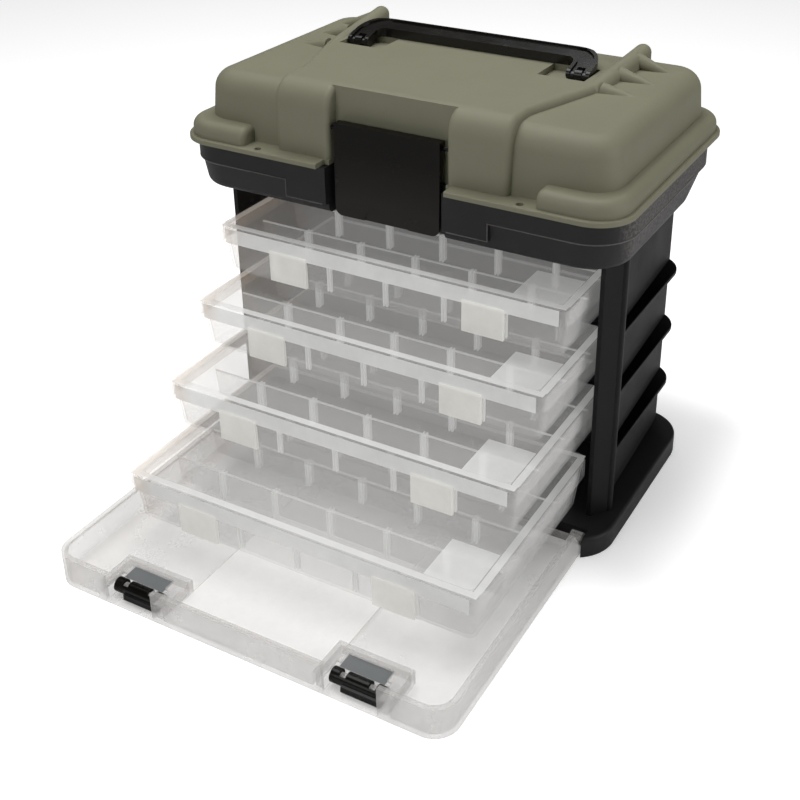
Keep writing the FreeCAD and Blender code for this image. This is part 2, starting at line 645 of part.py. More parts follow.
def skirt_outline(inset, z):
    """The lid's wall seen from above, at height z; it leans in by the draft at the top."""
    lean = LID_DRAFT * (z - FLANGE_TOP_Z) / (LID_TOP_Z - FLANGE_TOP_Z) + inset
    radius = FLANGE_RADIUS - LID_SKIRT_SETBACK_REAR + 6 - inset
    return outline(FLANGE_WIDTH / 2 - LID_SKIRT_SETBACK_SIDE - lean,
                   FLANGE_FRONT_Y + LID_SKIRT_SETBACK_FRONT + lean,
                   FLANGE_REAR_Y - LID_SKIRT_SETBACK_REAR - lean, radius, radius, z)


def dome(inset, z0):
    top = LID_TOP_Z - inset
    body = Part.makeLoft([skirt_outline(inset, z0), skirt_outline(inset, top)], True, True)
    return rounded(body, LID_SHOULDER - inset, lambda p: near(p.z, top))


def plateau_points(inset):
    """Right half of the plateau's outline, front to back."""
    return [(PLATEAU_BAND_HALF_WIDTH - inset, PLATEAU_FRONT_Y + inset),
            (PLATEAU_BAND_HALF_WIDTH - inset, PLATEAU_WAIST_Y),
            (PLATEAU_HALF_WIDTH - inset, PLATEAU_SHOULDER_Y),
            (PLATEAU_HALF_WIDTH - inset, PLATEAU_REAR_Y - inset)]


def plateau(inset, z0):
    """The raised centre of the lid; two bands of it run down the front beside the latch."""
    top = PLATEAU_TOP_Z - inset
    right = plateau_points(inset)
    left = [(-x, y) for x, y in reversed(right)]
    body = prism(right + left, z0, top)
    body = rounded(body, 14.0, lambda p: near(p.x, PLATEAU_BAND_HALF_WIDTH - inset)
                   and near(p.y, PLATEAU_WAIST_Y) or near(-p.x, PLATEAU_BAND_HALF_WIDTH - inset)
                   and near(p.y, PLATEAU_WAIST_Y))
    body = rounded(body, PLATEAU_BROW - inset,
                   lambda p: near(p.y, PLATEAU_FRONT_Y + inset) and near(p.z, top))
    if inset:
        return body
    return rounded(body, PLATEAU_EDGE_FILLET,
                   lambda p: near(p.z, top) and p.y > PLATEAU_FRONT_Y + PLATEAU_BROW + 0.5)


def recess(extra, z0):
    """The space in front of the latch, between the plateau's bands."""
    half = RECESS_HALF_WIDTH + extra
    back = RECESS_BACK_Y + extra
    points = [(FLANGE_FRONT_Y - 5, z0), (back - RECESS_LEAN, z0), (back, PLATEAU_TOP_Z + 1),
              (FLANGE_FRONT_Y - 5, PLATEAU_TOP_Z + 1)]
    return profile(points, -half, half)


def flange():
    ring = slab(FLANGE_WIDTH / 2, FLANGE_FRONT_Y, FLANGE_REAR_Y, FLANGE_RADIUS, FLANGE_RADIUS,
                FLANGE_Z, FLANGE_TOP_Z)
    ring = rounded(ring, 1.5, lambda p: near(p.z, FLANGE_TOP_Z))
    notch = block(-FLANGE_NOTCH_HALF_WIDTH, FLANGE_NOTCH_HALF_WIDTH, FLANGE_FRONT_Y - 1,
                  PLATEAU_FRONT_Y - 0.5, FLANGE_Z - 1, FLANGE_TOP_Z + 1)
    ring = ring.cut(notch)
    for side in (-1, 1):
        hole = Part.makeCylinder(TAB_HOLE_RADIUS, FLANGE_THICKNESS + 2, FreeCAD.Vector(
            side * TAB_HOLE_X, (FLANGE_FRONT_Y + PLATEAU_FRONT_Y) / 2, FLANGE_Z - 1))
        ring = ring.cut(hole)
    return ring


def roll():
    """The half-round bead on the flange, from the front round both sides to the back."""
    s = ROLL_SETBACK
    outer = slab(FLANGE_WIDTH / 2 - s, FLANGE_FRONT_Y + s, FLANGE_REAR_Y - s,
                 FLANGE_RADIUS - s, FLANGE_RADIUS - s, FLANGE_TOP_Z - 1, FLANGE_TOP_Z + ROLL_HEIGHT)
    outer = rounded(outer, ROLL_RADIUS, lambda p: near(p.z, FLANGE_TOP_Z + ROLL_HEIGHT))
    gap = block(-ROLL_END_X, ROLL_END_X, FLANGE_FRONT_Y, FLANGE_REAR_Y - LID_SKIRT_SETBACK_REAR - 30,
                FLANGE_TOP_Z - 2, PLATEAU_TOP_Z)
    bead = outer.cut(gap)

    def at_front_ends(p):
        return near(abs(p.x), ROLL_END_X) and p.y < 0 and p.z > FLANGE_TOP_Z + 1

    return rounded(bead, ROLL_RADIUS * 0.6, at_front_ends)


def ridge():
    """The right-hand rail beside the handle: a round-topped wall that rises to its rear end."""
    r = RIDGE_RADIUS
    low = LID_TOP_Z - 1
    start = FreeCAD.Vector(RIDGE_START_X, RIDGE_START_Y, PLATEAU_TOP_Z - r)
    end = FreeCAD.Vector(RIDGE_X, RIDGE_PEAK_Y, RIDGE_PEAK_Z - r)
    run = end - start
    bar = Part.makeCylinder(r, run.Length, start, run)
    wall = prism([(start.x - r, start.y), (start.x + r, start.y), (end.x + r, end.y),
                  (end.x - r, end.y)], low, RIDGE_PEAK_Z)
    under_bar = profile([(start.y, low), (start.y, start.z), (end.y, end.z), (end.y, low)],
                        0, RIDGE_X + 2 * r)
    wall = wall.common(under_bar)
    post_foot = Part.makeCylinder(r, end.z - low, FreeCAD.Vector(RIDGE_X, RIDGE_PEAK_Y, low))
    return bar.fuse([wall, post_foot, Part.makeSphere(r, start), Part.makeSphere(r, end)])


def gussets():
    """Tapered ribs from the top of the rail down to the shoulder."""
    ribs = []
    for y in GUSSET_Y:
        climb = (y - RIDGE_START_Y) / (RIDGE_PEAK_Y - RIDGE_START_Y)
        rail_z = PLATEAU_TOP_Z + climb * (RIDGE_PEAK_Z - PLATEAU_TOP_Z)
        start = FreeCAD.Vector(RIDGE_X, y, rail_z - GUSSET_RADIUS)
        run = FreeCAD.Vector(GUSSET_LENGTH, 0, GUSSET_TIP_Z - start.z)
        ribs.append(Part.makeCone(GUSSET_RADIUS, 1.5, run.Length, start, run))
    return ribs


def at_recess_side(p):
    """The upright edges where the recess for the latch opens through the plateau's bands."""
    at_front = PLATEAU_FRONT_Y - 0.1 < p.y < RECESS_BACK_Y + 0.1
    return near(abs(p.x), RECESS_HALF_WIDTH) and at_front and p.z > FLANGE_TOP_Z - 0.1


def lid_shell():
    rails = [ridge(), mirrored(ridge())]
    solid = flange()
    for piece in [dome(0, FLANGE_TOP_Z), plateau(0, FLANGE_TOP_Z), roll()] + rails:
        solid = solid.fuse(piece)
    solid = solid.fuse(gussets() + [mirrored(g) for g in gussets()])
    solid = solid.cut([recess(0, FLANGE_Z - 1), handle_pocket(0), mirrored(handle_pocket(0))])
    solid = rounded(solid.removeSplitter(), RECESS_EDGE_FILLET, at_recess_side)
    behind_recess = recess(LID_WALL, FLANGE_Z - 2)
    throat = Part.Face(skirt_outline(LID_WALL, FLANGE_TOP_Z))
    throat = throat.extrude(FreeCAD.Vector(0, 0, -FLANGE_THICKNESS - 1)).cut(behind_recess)
    pockets = [handle_pocket(LID_WALL), mirrored(handle_pocket(LID_WALL))]
    inner_plateau = plateau(LID_WALL, FLANGE_Z - 1).cut([behind_recess] + pockets)
    inner_dome = dome(LID_WALL, FLANGE_TOP_Z).cut(behind_recess)
    solid = solid.cut(inner_dome.fuse([inner_plateau, throat]))
    for side in (-1, 1):
        solid = solid.fuse(lid_knuckles(side * LID_HINGE_X))
        solid = solid.cut(hinge_rod(side * LID_HINGE_X, LID_HINGE_PIN_RADIUS + RUNNING_CLEARANCE, 1))
    return solid.cut(latch_pin()).removeSplitter()


# ---- Handle ----

def handle_plan(inset, z0, z1):
    """The U from above: the grip behind, and an arm on each side that runs forward to its foot."""
    half, rear = HANDLE_HALF_WIDTH, HANDLE_REAR_Y
    front = HANDLE_AXIS_Y - 2 * HANDLE_FOOT_RADIUS
    outer = slab(half - inset, front - HANDLE_RADIUS, rear - inset, HANDLE_RADIUS - inset,
                 HANDLE_RADIUS - inset, z0, z1)
    inner_radius = HANDLE_RADIUS - HANDLE_GRIP + inset
    inner = slab(half - HANDLE_ARM + inset, front - 2 * HANDLE_RADIUS, rear - HANDLE_GRIP + inset,
                 inner_radius, inner_radius, z0 - 1, z1 + 1)
    return outer.cut(inner)


def handle_side(drop, x0, x1):
    """The arms and grip from the side; drop moves the whole outline down."""
    y, z, r = HANDLE_AXIS_Y, HANDLE_AXIS_Z - drop, HANDLE_FOOT_RADIUS
    low, high = HANDLE_Z - drop, HANDLE_Z + HANDLE_THICKNESS - drop
    rear = HANDLE_REAR_Y + 1
    body = profile([(y, z - r), (y + 2 * r, low), (rear, low), (rear, high),
                    (HANDLE_RISE_Y, high), (y, z + r)], x0, x1)
    return body.fuse(rod(r, x0, x1, y, z)).removeSplitter()


def handle():
    half = HANDLE_HALF_WIDTH + 1
    low, high = HANDLE_POCKET_Z, HANDLE_Z + HANDLE_THICKNESS + 1
    body = handle_plan(0, low, high).common(handle_side(0, -half, half))
    dish = handle_plan(HANDLE_RIM, low, high).cut(handle_side(HANDLE_DISH, -half, half))
    dish = dish.cut(block(-half, half, HANDLE_AXIS_Y - half, HANDLE_REAR_Y, low - 1, HANDLE_AXIS_Z))
    hollow = handle_plan(HANDLE_WALL, low, high).common(
        handle_side(HANDLE_DISH + HANDLE_WALL, -half, half))
    hollow = hollow.cut(block(-half, half, 0, HANDLE_AXIS_Y + BRACKET_SLOT_REAR + HANDLE_WALL,
                              low - 1, high))
    body = body.cut([dish, hollow])
    slot_half = BRACKET_WIDTH / 2 + BRACKET_SLOT_GAP
    slot = block(BRACKET_X - slot_half, BRACKET_X + slot_half, HANDLE_AXIS_Y - 3 * HANDLE_FOOT_RADIUS,
                 HANDLE_AXIS_Y + BRACKET_SLOT_REAR, low - 1, high)
    pin = rod(HANDLE_PIVOT_RADIUS, BRACKET_X - slot_half - 1, BRACKET_X + slot_half + 1,
              HANDLE_AXIS_Y, HANDLE_AXIS_Z)
    body = body.cut([slot, mirrored(slot)])
    return body.fuse([pin, mirrored(pin)]).removeSplitter()


def handle_pocket(extra):
    """The sunken place in the plateau for the right arm's foot."""
    return block(HANDLE_POCKET_INNER_X - extra, HANDLE_HALF_WIDTH + HANDLE_POCKET_GAP + extra,
                 HANDLE_POCKET_FRONT_Y - extra, HANDLE_POCKET_REAR_Y + extra,
                 HANDLE_POCKET_Z - extra, RIDGE_PEAK_Z)


def handle_bracket():
    """A lug on the pocket's floor that stands in the slot of the right arm and holds its pin."""
    bore = HANDLE_PIVOT_RADIUS + RUNNING_CLEARANCE
    outer = bore + BRACKET_WALL
    x0, x1 = BRACKET_X - BRACKET_WIDTH / 2, BRACKET_X + BRACKET_WIDTH / 2
    body = rod(outer, x0, x1, HANDLE_AXIS_Y, HANDLE_AXIS_Z)
    foot = block(x0, x1, HANDLE_AXIS_Y - outer, HANDLE_AXIS_Y + outer, HANDLE_POCKET_Z, HANDLE_AXIS_Z)
    body = body.fuse(foot)
    return body.cut(rod(bore, x0 - 1, x1 + 1, HANDLE_AXIS_Y, HANDLE_AXIS_Z)).removeSplitter()


# ---- Main latch ----

def latch_pin():
    half = RECESS_HALF_WIDTH + LID_WALL
    return rod(LATCH_PIN_RADIUS, -half, half, LATCH_AXIS_Y, LATCH_AXIS_Z)


def latch_plate():
    """A bent plate with side cheeks at its top, a hook behind and a finger recess below."""
    half, t = LATCH_HALF_WIDTH, LATCH_THICKNESS
    front = [(LATCH_FRONT_Y, LATCH_TOP_Z), (LATCH_FRONT_Y - 1, LATCH_BEND_Z),
             (LATCH_BOTTOM_Y, LATCH_BOTTOM_Z)]
    back = [(y + t, z) for y, z in reversed(front)]
    plate = profile(front + back, -half, half)
    for side in (-1, 1):
        plate = rounded(plate, LATCH_CORNER_RADIUS,
                        lambda p: near(p.x, side * half) and near(p.z, LATCH_BOTTOM_Z))
    cheek_y = LATCH_FRONT_Y + LATCH_CHEEK
    cheek = profile([(LATCH_FRONT_Y, LATCH_TOP_Z), (LATCH_FRONT_Y - 0.5, LATCH_BEND_Z + 10),
                     (LATCH_FRONT_Y + t, LATCH_BEND_Z + 10), (cheek_y, LATCH_AXIS_Z - 8),
                     (cheek_y, LATCH_TOP_Z)], half - t, half)
    top = block(-half, half, LATCH_FRONT_Y, cheek_y, LATCH_TOP_Z - t, LATCH_TOP_Z)
    lip = block(-LATCH_LIP_HALF_WIDTH, LATCH_LIP_HALF_WIDTH, plate_y(LATCH_LIP_Z) + 1,
                POCKET_DEPTH_Y - CATCH_REACH - LATCH_SNAP_GAP,
                LATCH_LIP_Z, LATCH_LIP_Z + LATCH_LIP_THICKNESS)
    body = plate.fuse([cheek, mirrored(cheek), top, lip])
    finger = Part.makeCylinder(LATCH_FINGER_HALF_WIDTH, t, FreeCAD.Vector(0, 0, 0), FreeCAD.Vector(0, 1, 0))
    squash = FreeCAD.Matrix()
    squash.scale(1, 1, LATCH_FINGER_HEIGHT / LATCH_FINGER_HALF_WIDTH)
    finger = finger.transformGeometry(squash)
    finger.translate(FreeCAD.Vector(0, LATCH_BOTTOM_Y - t + 1.2, LATCH_BOTTOM_Z))
    body = body.cut(finger)
    bore = rod(LATCH_PIN_RADIUS + RUNNING_CLEARANCE, -half - 1, half + 1, LATCH_AXIS_Y, LATCH_AXIS_Z)
    return body.cut(bore).removeSplitter()


def plate_y(z):
    """Front of the latch plate's lower half at height z."""
    share = (LATCH_BEND_Z - z) / (LATCH_BEND_Z - LATCH_BOTTOM_Z)
    return LATCH_FRONT_Y - 1 + share * (LATCH_BOTTOM_Y - LATCH_FRONT_Y + 1)


# ---- Door ----

def door_outline(inset, z0, z1):
    rear = DOOR_AXIS_Y - DOOR_HINGE_RADIUS / 2
    r = DOOR_CORNER_RADIUS - inset
    return slab(DOOR_HALF_WIDTH - inset, DOOR_FRONT_Y + inset, rear - inset, r, 2.0, z0, z1)


def latch_axis_y():
    return DOOR_FRONT_Y + DOOR_LATCH_SETBACK


def latch_housing(x):
    """A raised box behind the front wall with a window in its top, and a notch for the latch."""
    half = DOOR_HOUSING_HALF_WIDTH
    front, rear = DOOR_FRONT_Y + 1, DOOR_FRONT_Y + DOOR_HOUSING_DEPTH
    low = DOOR_LIFT + DOOR_PANEL / 2
    outer = block(x - half, x + half, front, rear, low, DOOR_HOUSING_TOP_Z)
    t = DOOR_WALL
    inner = block(x - half + t, x + half - t, front + t, rear - t, low - 1, DOOR_HOUSING_TOP_Z - t)
    window_y = rear - 8 - DOOR_WINDOW_DEPTH
    window = block(x - DOOR_WINDOW_HALF_WIDTH, x + DOOR_WINDOW_HALF_WIDTH, window_y,
                   window_y + DOOR_WINDOW_DEPTH, low, DOOR_HOUSING_TOP_Z + 1)
    return outer.cut(inner).cut(window)


def latch_notch(x):
    """What the housing and the wall give up so that the latch can turn."""
    g = DOOR_LATCH_NOTCH_GAP
    half = DOOR_LATCH_LENGTH / 2 + g
    reach = DOOR_LATCH_RADIUS + g
    y, z = latch_axis_y(), DOOR_LATCH_AXIS_Z
    return block(x - half, x + half, DOOR_FRONT_Y - 10, y + reach, z - reach, DOOR_RIM_Z + 5)


def latch_boss_places(x):
    """Where the two bosses stand, as the low X of each."""
    return [x + side * DOOR_LATCH_BOSS_X - DOOR_LATCH_BOSS_WIDTH / 2 for side in (-1, 1)]


def latch_bosses(x):
    """Two bosses between the latch's rings, which carry its pin, each on a stem from the floor."""
    y, z = latch_axis_y(), DOOR_LATCH_AXIS_Z
    pieces = []
    for x0 in latch_boss_places(x):
        x1 = x0 + DOOR_LATCH_BOSS_WIDTH
        boss = rod(DOOR_LATCH_BOSS_RADIUS, x0, x1, y, z)
        stem = block(x0, x1, y - DOOR_LATCH_PIN_RADIUS, y + DOOR_LATCH_BOSS_RADIUS,
                     DOOR_LIFT + DOOR_PANEL / 3, z)
        pieces.append(boss.fuse(stem))
    return pieces


def door_panel():
    low = DOOR_LIFT
    body = door_outline(0, low, DOOR_RIM_Z)
    body = body.cut(door_outline(DOOR_WALL, low + DOOR_PANEL, DOOR_RIM_Z + 1))
    lip = door_outline(0, DOOR_RIM_Z - DOOR_LIP_THICKNESS, DOOR_RIM_Z)
    lip = lip.cut(door_outline(DOOR_LIP + DOOR_WALL, 0, DOOR_RIM_Z + 1))
    body = body.fuse(lip)
    pad = slab(DOOR_PAD_HALF_WIDTH, DOOR_PAD_FRONT_Y, DOOR_PAD_REAR_Y, 8, 8,
               low + DOOR_PANEL / 2, low + DOOR_PANEL + DOOR_PAD_RISE)
    body = body.fuse([pad] + [latch_housing(x) for x in (-DOOR_LATCH_X, DOOR_LATCH_X)])
    rear = DOOR_AXIS_Y - DOOR_HINGE_RADIUS / 2
    wide = DOOR_HALF_WIDTH + 1
    body = body.cut(block(-wide, wide, rear - 7, rear + 1, DOOR_REAR_WALL_Z, DOOR_RIM_Z + 1))
    chamfer = profile([(rear - 7, DOOR_REAR_WALL_Z), (rear - 16, DOOR_RIM_Z + 1),
                       (rear - 7, DOOR_RIM_Z + 1)], -wide, wide)
    body = body.cut(chamfer)
    for x in (-DOOR_LATCH_X, DOOR_LATCH_X):
        body = body.cut(latch_notch(x))
        body = body.fuse(latch_bosses(x))
        body = body.cut(door_latch_pin(x))
    for side in (-1, 1):
        x0, x1 = sorted((side * DOOR_HALF_WIDTH, side * (DOOR_HALF_WIDTH - DOOR_EAR_WIDTH)))
        ear = rod(DOOR_HINGE_RADIUS, x0, x1, DOOR_AXIS_Y, DOOR_HINGE_Z)
        root = block(x0, x1, DOOR_AXIS_Y - DOOR_HINGE_RADIUS - 4, DOOR_AXIS_Y,
                     low, DOOR_HINGE_Z)
        body = body.fuse([ear, root.cut(rod(DOOR_HINGE_RADIUS, x0, x1, DOOR_AXIS_Y, DOOR_HINGE_Z))
                          .cut(swing_relief(x0, x1))])
        body = body.cut(rod(DOOR_PIN_RADIUS + RUNNING_CLEARANCE, x0 - 1, x1 + 1,
                            DOOR_AXIS_Y, DOOR_HINGE_Z))
    return body.removeSplitter()


def swing_relief(x0, x1):
    """What lies outside the circle that the door's rear edge may sweep."""
    big = block(x0 - 1, x1 + 1, DOOR_AXIS_Y - 1, DOOR_AXIS_Y + 30, -5, DOOR_HINGE_Z)
    return big.cut(rod(math.hypot(DOOR_HINGE_Z, DOOR_WALL) - 0.2, x0 - 2, x1 + 2,
                       DOOR_AXIS_Y, DOOR_HINGE_Z))


def door_hinge_pin():
    x0 = DOOR_HALF_WIDTH - DOOR_EAR_WIDTH
    x1 = DOOR_HALF_WIDTH + DOOR_SIDE_GAP + DOOR_PIN_GRIP
    return rod(DOOR_PIN_RADIUS, x0, x1, DOOR_AXIS_Y, DOOR_HINGE_Z)


def door_latch_pin(x):
    half = DOOR_LATCH_LENGTH / 2
    return rod(DOOR_LATCH_PIN_RADIUS, x - half, x + half, latch_axis_y(), DOOR_LATCH_AXIS_Z)


def door_latch(x):
    """A clip that turns on a pin: a barrel with two gaps for the bosses, and a flared paddle."""
    y, z = latch_axis_y(), DOOR_LATCH_AXIS_Z
    half = DOOR_LATCH_LENGTH / 2
    barrel = rod(DOOR_LATCH_RADIUS, x - half, x + half, y, z)
    paddle = profile([(y, z + 2), (y - DOOR_LATCH_RADIUS - 2, z - 1), (y - DOOR_LATCH_PADDLE, z - 6),
                      (y - DOOR_LATCH_PADDLE + 4, z - 7), (y, z - 4)], x - half * 0.5, x + half)
    body = barrel.fuse(paddle)
    for boss_x in latch_boss_places(x):
        x0, x1 = boss_x - BOX_LATCH_GAP, boss_x + DOOR_LATCH_BOSS_WIDTH + BOX_LATCH_GAP
        body = body.cut(block(x0, x1, y - DOOR_LATCH_BOSS_RADIUS - BOX_LATCH_GAP, y + 20, z - 20, z + 20))
    return body.cut(rod(DOOR_LATCH_PIN_RADIUS + RUNNING_CLEARANCE, x - half - 1, x + half + 1, y, z))


# ---- Utility boxes: each is drawn with its front at y = 0 and its underside at z = 0 ----

def box_body():
    h, wall = BOX_HEIGHT, BOX_WALL
    rim_z = h - BOX_LID_RECESS - wall - BOX_LID_SEAT
    inset = wall + BOX_LID_FIT
    half = BOX_WIDTH / 2 - inset
    front, rear = wall + BOX_LID_FRONT_FIT, BOX_DEPTH - inset
    rf, rr = BOX_FRONT_RADIUS - wall, BOX_REAR_RADIUS - wall

    def tub(t, z0):
        low = outline(half - BOX_BODY_DRAFT - t, front + BOX_BODY_DRAFT / 2 + t,
                      rear - BOX_BODY_DRAFT - t, rf, rr, z0)
        high = outline(half - t, front + t, rear - t, rf, rr, rim_z)
        return Part.makeLoft([low, high], True, True)

    body = tub(0, 0).cut(tub(wall, wall))
    mid = (front + rear) / 2
    spine_top = h - BOX_SPINE_DROP
    reach = wall / 2 + BOX_SLOT_REACH
    clear = tub(wall + BOX_SLOT_REACH, wall / 2)
    spines = []
    for row in (-1, 0, 1):
        y = mid + row * BOX_ROW_PITCH
        spines.append(block(-half - 1, half + 1, y - wall / 2, y + wall / 2, wall / 2, spine_top))
        clear = clear.cut(block(-half, half, y - reach, y + reach, 0, h))
    ribs = Part.makeCompound(slot_ribs(front, rear, wall / 2, spine_top))
    ribs = ribs.common(tub(0, 0)).cut(clear)
    body = body.fuse([spine.common(tub(0, 0)) for spine in spines] + [ribs])
    for side in (-1, 1):
        x = side * BOX_LATCH_X
        tab = block(x - 2.5, x + 2.5, front + wall / 2, front + wall + 3, h - 20, rim_z)
        body = body.fuse(tab)
        x = side * BOX_HINGE_X
        body = body.fuse(box_knuckle(x, 0, rear))
        body = body.cut(box_hinge_pin(x))
    return body.removeSplitter()


def box_hinge_axis():
    return BOX_DEPTH + BOX_LID_SEAT, BOX_HEIGHT - BOX_HINGE_DROP


def box_knuckle(x, level, wall_y):
    """A knuckle at x; level 0 hangs it on the body's wall, level 1 on the lid's skirt."""
    y, z = box_hinge_axis()
    half = BOX_HINGE_KNUCKLE_LENGTH / 2
    r = BOX_HINGE_KNUCKLE_RADIUS
    barrel = rod(r, x - half, x + half, y, z)
    if level:
        web = block(x - half, x + half, wall_y, y + r * 0.4, z, BOX_HEIGHT - BOX_LID_SKIRT + 2)
    else:
        web = block(x - half, x + half, wall_y - BOX_WALL - 1, y, z - r, z)
    return barrel.fuse(web)


def box_hinge_pin(x):
    y, z = box_hinge_axis()
    half = BOX_HINGE_KNUCKLE_LENGTH * 1.5 + BOX_LATCH_GAP
    return rod(BOX_HINGE_PIN_RADIUS, x - half, x + half, y, z)


def box_lid():
    h, wall = BOX_HEIGHT, BOX_WALL
    half = BOX_WIDTH / 2
    rf, rr = BOX_FRONT_RADIUS, BOX_REAR_RADIUS
    body = slab(half, 0, BOX_DEPTH, rf, rr, h - BOX_LID_SKIRT, h)
    body = rounded(body, 1.2, lambda p: near(p.z, h))
    body = body.cut(slab(half - wall, wall, BOX_DEPTH - wall, rf - wall, rr - wall,
                         h - BOX_LID_SKIRT - 1, h - wall))
    b = BOX_LID_BORDER
    plate = slab(half - b + wall, b - wall, BOX_DEPTH - b + wall, rf, rr,
                 h - BOX_LID_RECESS - wall, h - wall / 2)
    body = body.fuse(plate)
    body = body.cut(slab(half - b, b, BOX_DEPTH - b, rf, rr, h - BOX_LID_RECESS, h + 1))
    label_x = half - b - 1.5
    label = block(label_x - BOX_LABEL_WIDTH, label_x, b + 1.5, b + 1.5 + BOX_LABEL_DEPTH,
                  h - BOX_LID_RECESS - wall / 2, h - BOX_LID_RECESS + BOX_LABEL_RISE)
    body = body.fuse(label)
    for side in (-1, 1):
        x = side * BOX_LATCH_X
        body = body.cut(latch_slot(x))
        for n in (-1, 1):
            kx = side * BOX_HINGE_X + n * (BOX_HINGE_KNUCKLE_LENGTH + BOX_LATCH_GAP)
            body = body.fuse(box_knuckle(kx, 1, BOX_DEPTH - wall))
        body = body.cut(rod(BOX_HINGE_PIN_RADIUS + RUNNING_CLEARANCE, side * BOX_HINGE_X - 20,
                            side * BOX_HINGE_X + 20, *box_hinge_axis()))
    return body.removeSplitter()


def box_latch_axis():
    r = BOX_LATCH_KNUCKLE_RADIUS
    return r - BOX_LATCH_GAP, BOX_HEIGHT - BOX_LID_SKIRT + r + BOX_LATCH_GAP


def latch_slot(x):
    """The notch in the lid's skirt for a latch's knuckle."""
    g, r = BOX_LATCH_GAP, BOX_LATCH_KNUCKLE_RADIUS
    half = BOX_LATCH_WIDTH / 2 + g
    y, z = box_latch_axis()
    return block(x - half, x + half, -2, BOX_WALL + 0.01, BOX_HEIGHT - BOX_LID_SKIRT - 1, z + r + g)


def box_latch(x):
    y, z = box_latch_axis()
    half, r, t = BOX_LATCH_WIDTH / 2, BOX_LATCH_KNUCKLE_RADIUS, BOX_LATCH_THICKNESS
    knuckle = rod(r, x - half, x + half, y, z)
    plate = block(x - half, x + half, y - r, y - r + t, z - BOX_LATCH_LENGTH, z)
    cheeks = [block(x0, x0 + 1.2, y - r, y - r + t + BOX_LATCH_CHEEK, z - BOX_LATCH_LENGTH, z - 6)
              for x0 in (x - half, x + half - 1.2)]
    return knuckle.fuse([plate] + cheeks).removeSplitter()


def slot_ribs(y0, y1, z0, z1):
    """Pairs of ribs across the box; a divider would stand in the slot between the two of a pair."""
    near_x = BOX_SLOT_WIDTH / 2
    pieces = []
    for n in range(BOX_SLOT_COUNT):
        x = BOX_SLOT_PITCH * (n - (BOX_SLOT_COUNT - 1) / 2)
        for side in (-1, 1):
            x0, x1 = sorted((x + side * near_x, x + side * (near_x + BOX_SLOT_RIB)))
            pieces.append(block(x0, x1, y0, y1, z0, z1))
    return pieces


def placed(shape, y, z):
    moved = shape.copy()
    moved.translate(FreeCAD.Vector(0, y, z))
    return moved


def save_boxes():
    body, lid = box_body(), box_lid()
    latches = {"left": box_latch(-BOX_LATCH_X), "right": box_latch(BOX_LATCH_X)}
    pins = [box_hinge_pin(-BOX_HINGE_X), box_hinge_pin(BOX_HINGE_X)]
    for level, (letter, pull) in enumerate(BOX_PULLS.items()):
        y, z = BOX_HOME_Y - pull, DECK_BOX_Z + BOX_PITCH * level
        name = "box_" + letter
        save(name + "_body", placed(body, y, z))
        save(name + "_lid", placed(lid, y, z))
        save(name + "_hinge_pins", *[placed(s, y, z) for s in pins])
        for side, latch in latches.items():
            save(name + "_latch_" + side, placed(latch, y, z))


def main():
    os.makedirs("parts", exist_ok=True)
    save("base", base())
    save("base_screws", *base_screws())
    save("front_frame", front_frame())
    panel = side_panel()
    runners = [runner(z) for z in runner_levels()]
    save("right_side_panel", panel)
    save("left_side_panel", mirrored(panel))
    save("right_runners", *runners)
    save("left_runners", *[mirrored(r) for r in runners])
    save("back_panel", back_panel())
    save("tray", tray())
    save("tray_screws", *tray_screws())
    pin = door_hinge_pin()
    save("door_hinge_pins", pin, mirrored(pin))
    save("lid_hinge_pins", *[hinge_rod(side * LID_HINGE_X, LID_HINGE_PIN_RADIUS) for side in (-1, 1)])
    save("lid_shell", lid_shell())
    save("handle", handle())
    bracket = handle_bracket()
    save("handle_brackets", bracket, mirrored(bracket))
    save("latch_plate", latch_plate())
    save("latch_pin", latch_pin())
    save("door_panel", door_panel())
    save("door_latch_left", door_latch(-DOOR_LATCH_X))
    save("door_latch_right", door_latch(DOOR_LATCH_X))
    save("door_latch_pins", *[door_latch_pin(side * DOOR_LATCH_X) for side in (-1, 1)])
    save_boxes()


main()
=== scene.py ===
# %% [markdown]
# # A tackle cabinet, dressed
#
# The construction of this cabinet is a fixed frame: every box, panel, pin and screw arrives
# with its real size and place. These cells give it the surfaces that a moulder would see:
# a matte olive lid, a tower of black plastic, four utility boxes in frosted polypropylene
# and a clear drop-down door.

# %% Load the frame
import json
import math

import bpy
import numpy as np
from mathutils import Matrix, Vector


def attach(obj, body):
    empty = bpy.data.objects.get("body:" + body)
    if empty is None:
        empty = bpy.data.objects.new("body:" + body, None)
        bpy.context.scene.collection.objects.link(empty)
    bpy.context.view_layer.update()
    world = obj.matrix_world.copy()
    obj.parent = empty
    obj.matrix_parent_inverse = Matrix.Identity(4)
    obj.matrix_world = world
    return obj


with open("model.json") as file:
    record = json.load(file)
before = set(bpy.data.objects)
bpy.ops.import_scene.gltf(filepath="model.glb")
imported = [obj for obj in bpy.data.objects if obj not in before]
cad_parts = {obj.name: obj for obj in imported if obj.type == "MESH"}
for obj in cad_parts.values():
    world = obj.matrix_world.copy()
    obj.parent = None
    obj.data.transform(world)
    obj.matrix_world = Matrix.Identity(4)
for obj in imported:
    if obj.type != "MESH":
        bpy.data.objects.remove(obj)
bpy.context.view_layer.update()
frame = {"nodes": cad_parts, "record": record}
print("nodes:", len(frame["nodes"]))

# %% [markdown]
# ## Camera
#
# A product picture is taken from a low stool's height with a normal lens. The camera is
# described here by its place, by three angles (a turn round the object, a height angle and a
# slight roll), and by a small sideways and vertical shift of the lens.

# %% Camera
VIEW_AZIMUTH = math.radians(28.10)
VIEW_ELEVATION = math.radians(26.52)
VIEW_ROLL = math.radians(0.25)
LENS_MM = 55.33
LENS_SHIFT = (-0.0734, -0.1622)
EYE = Vector((0.5123, -0.9359, 0.7249))


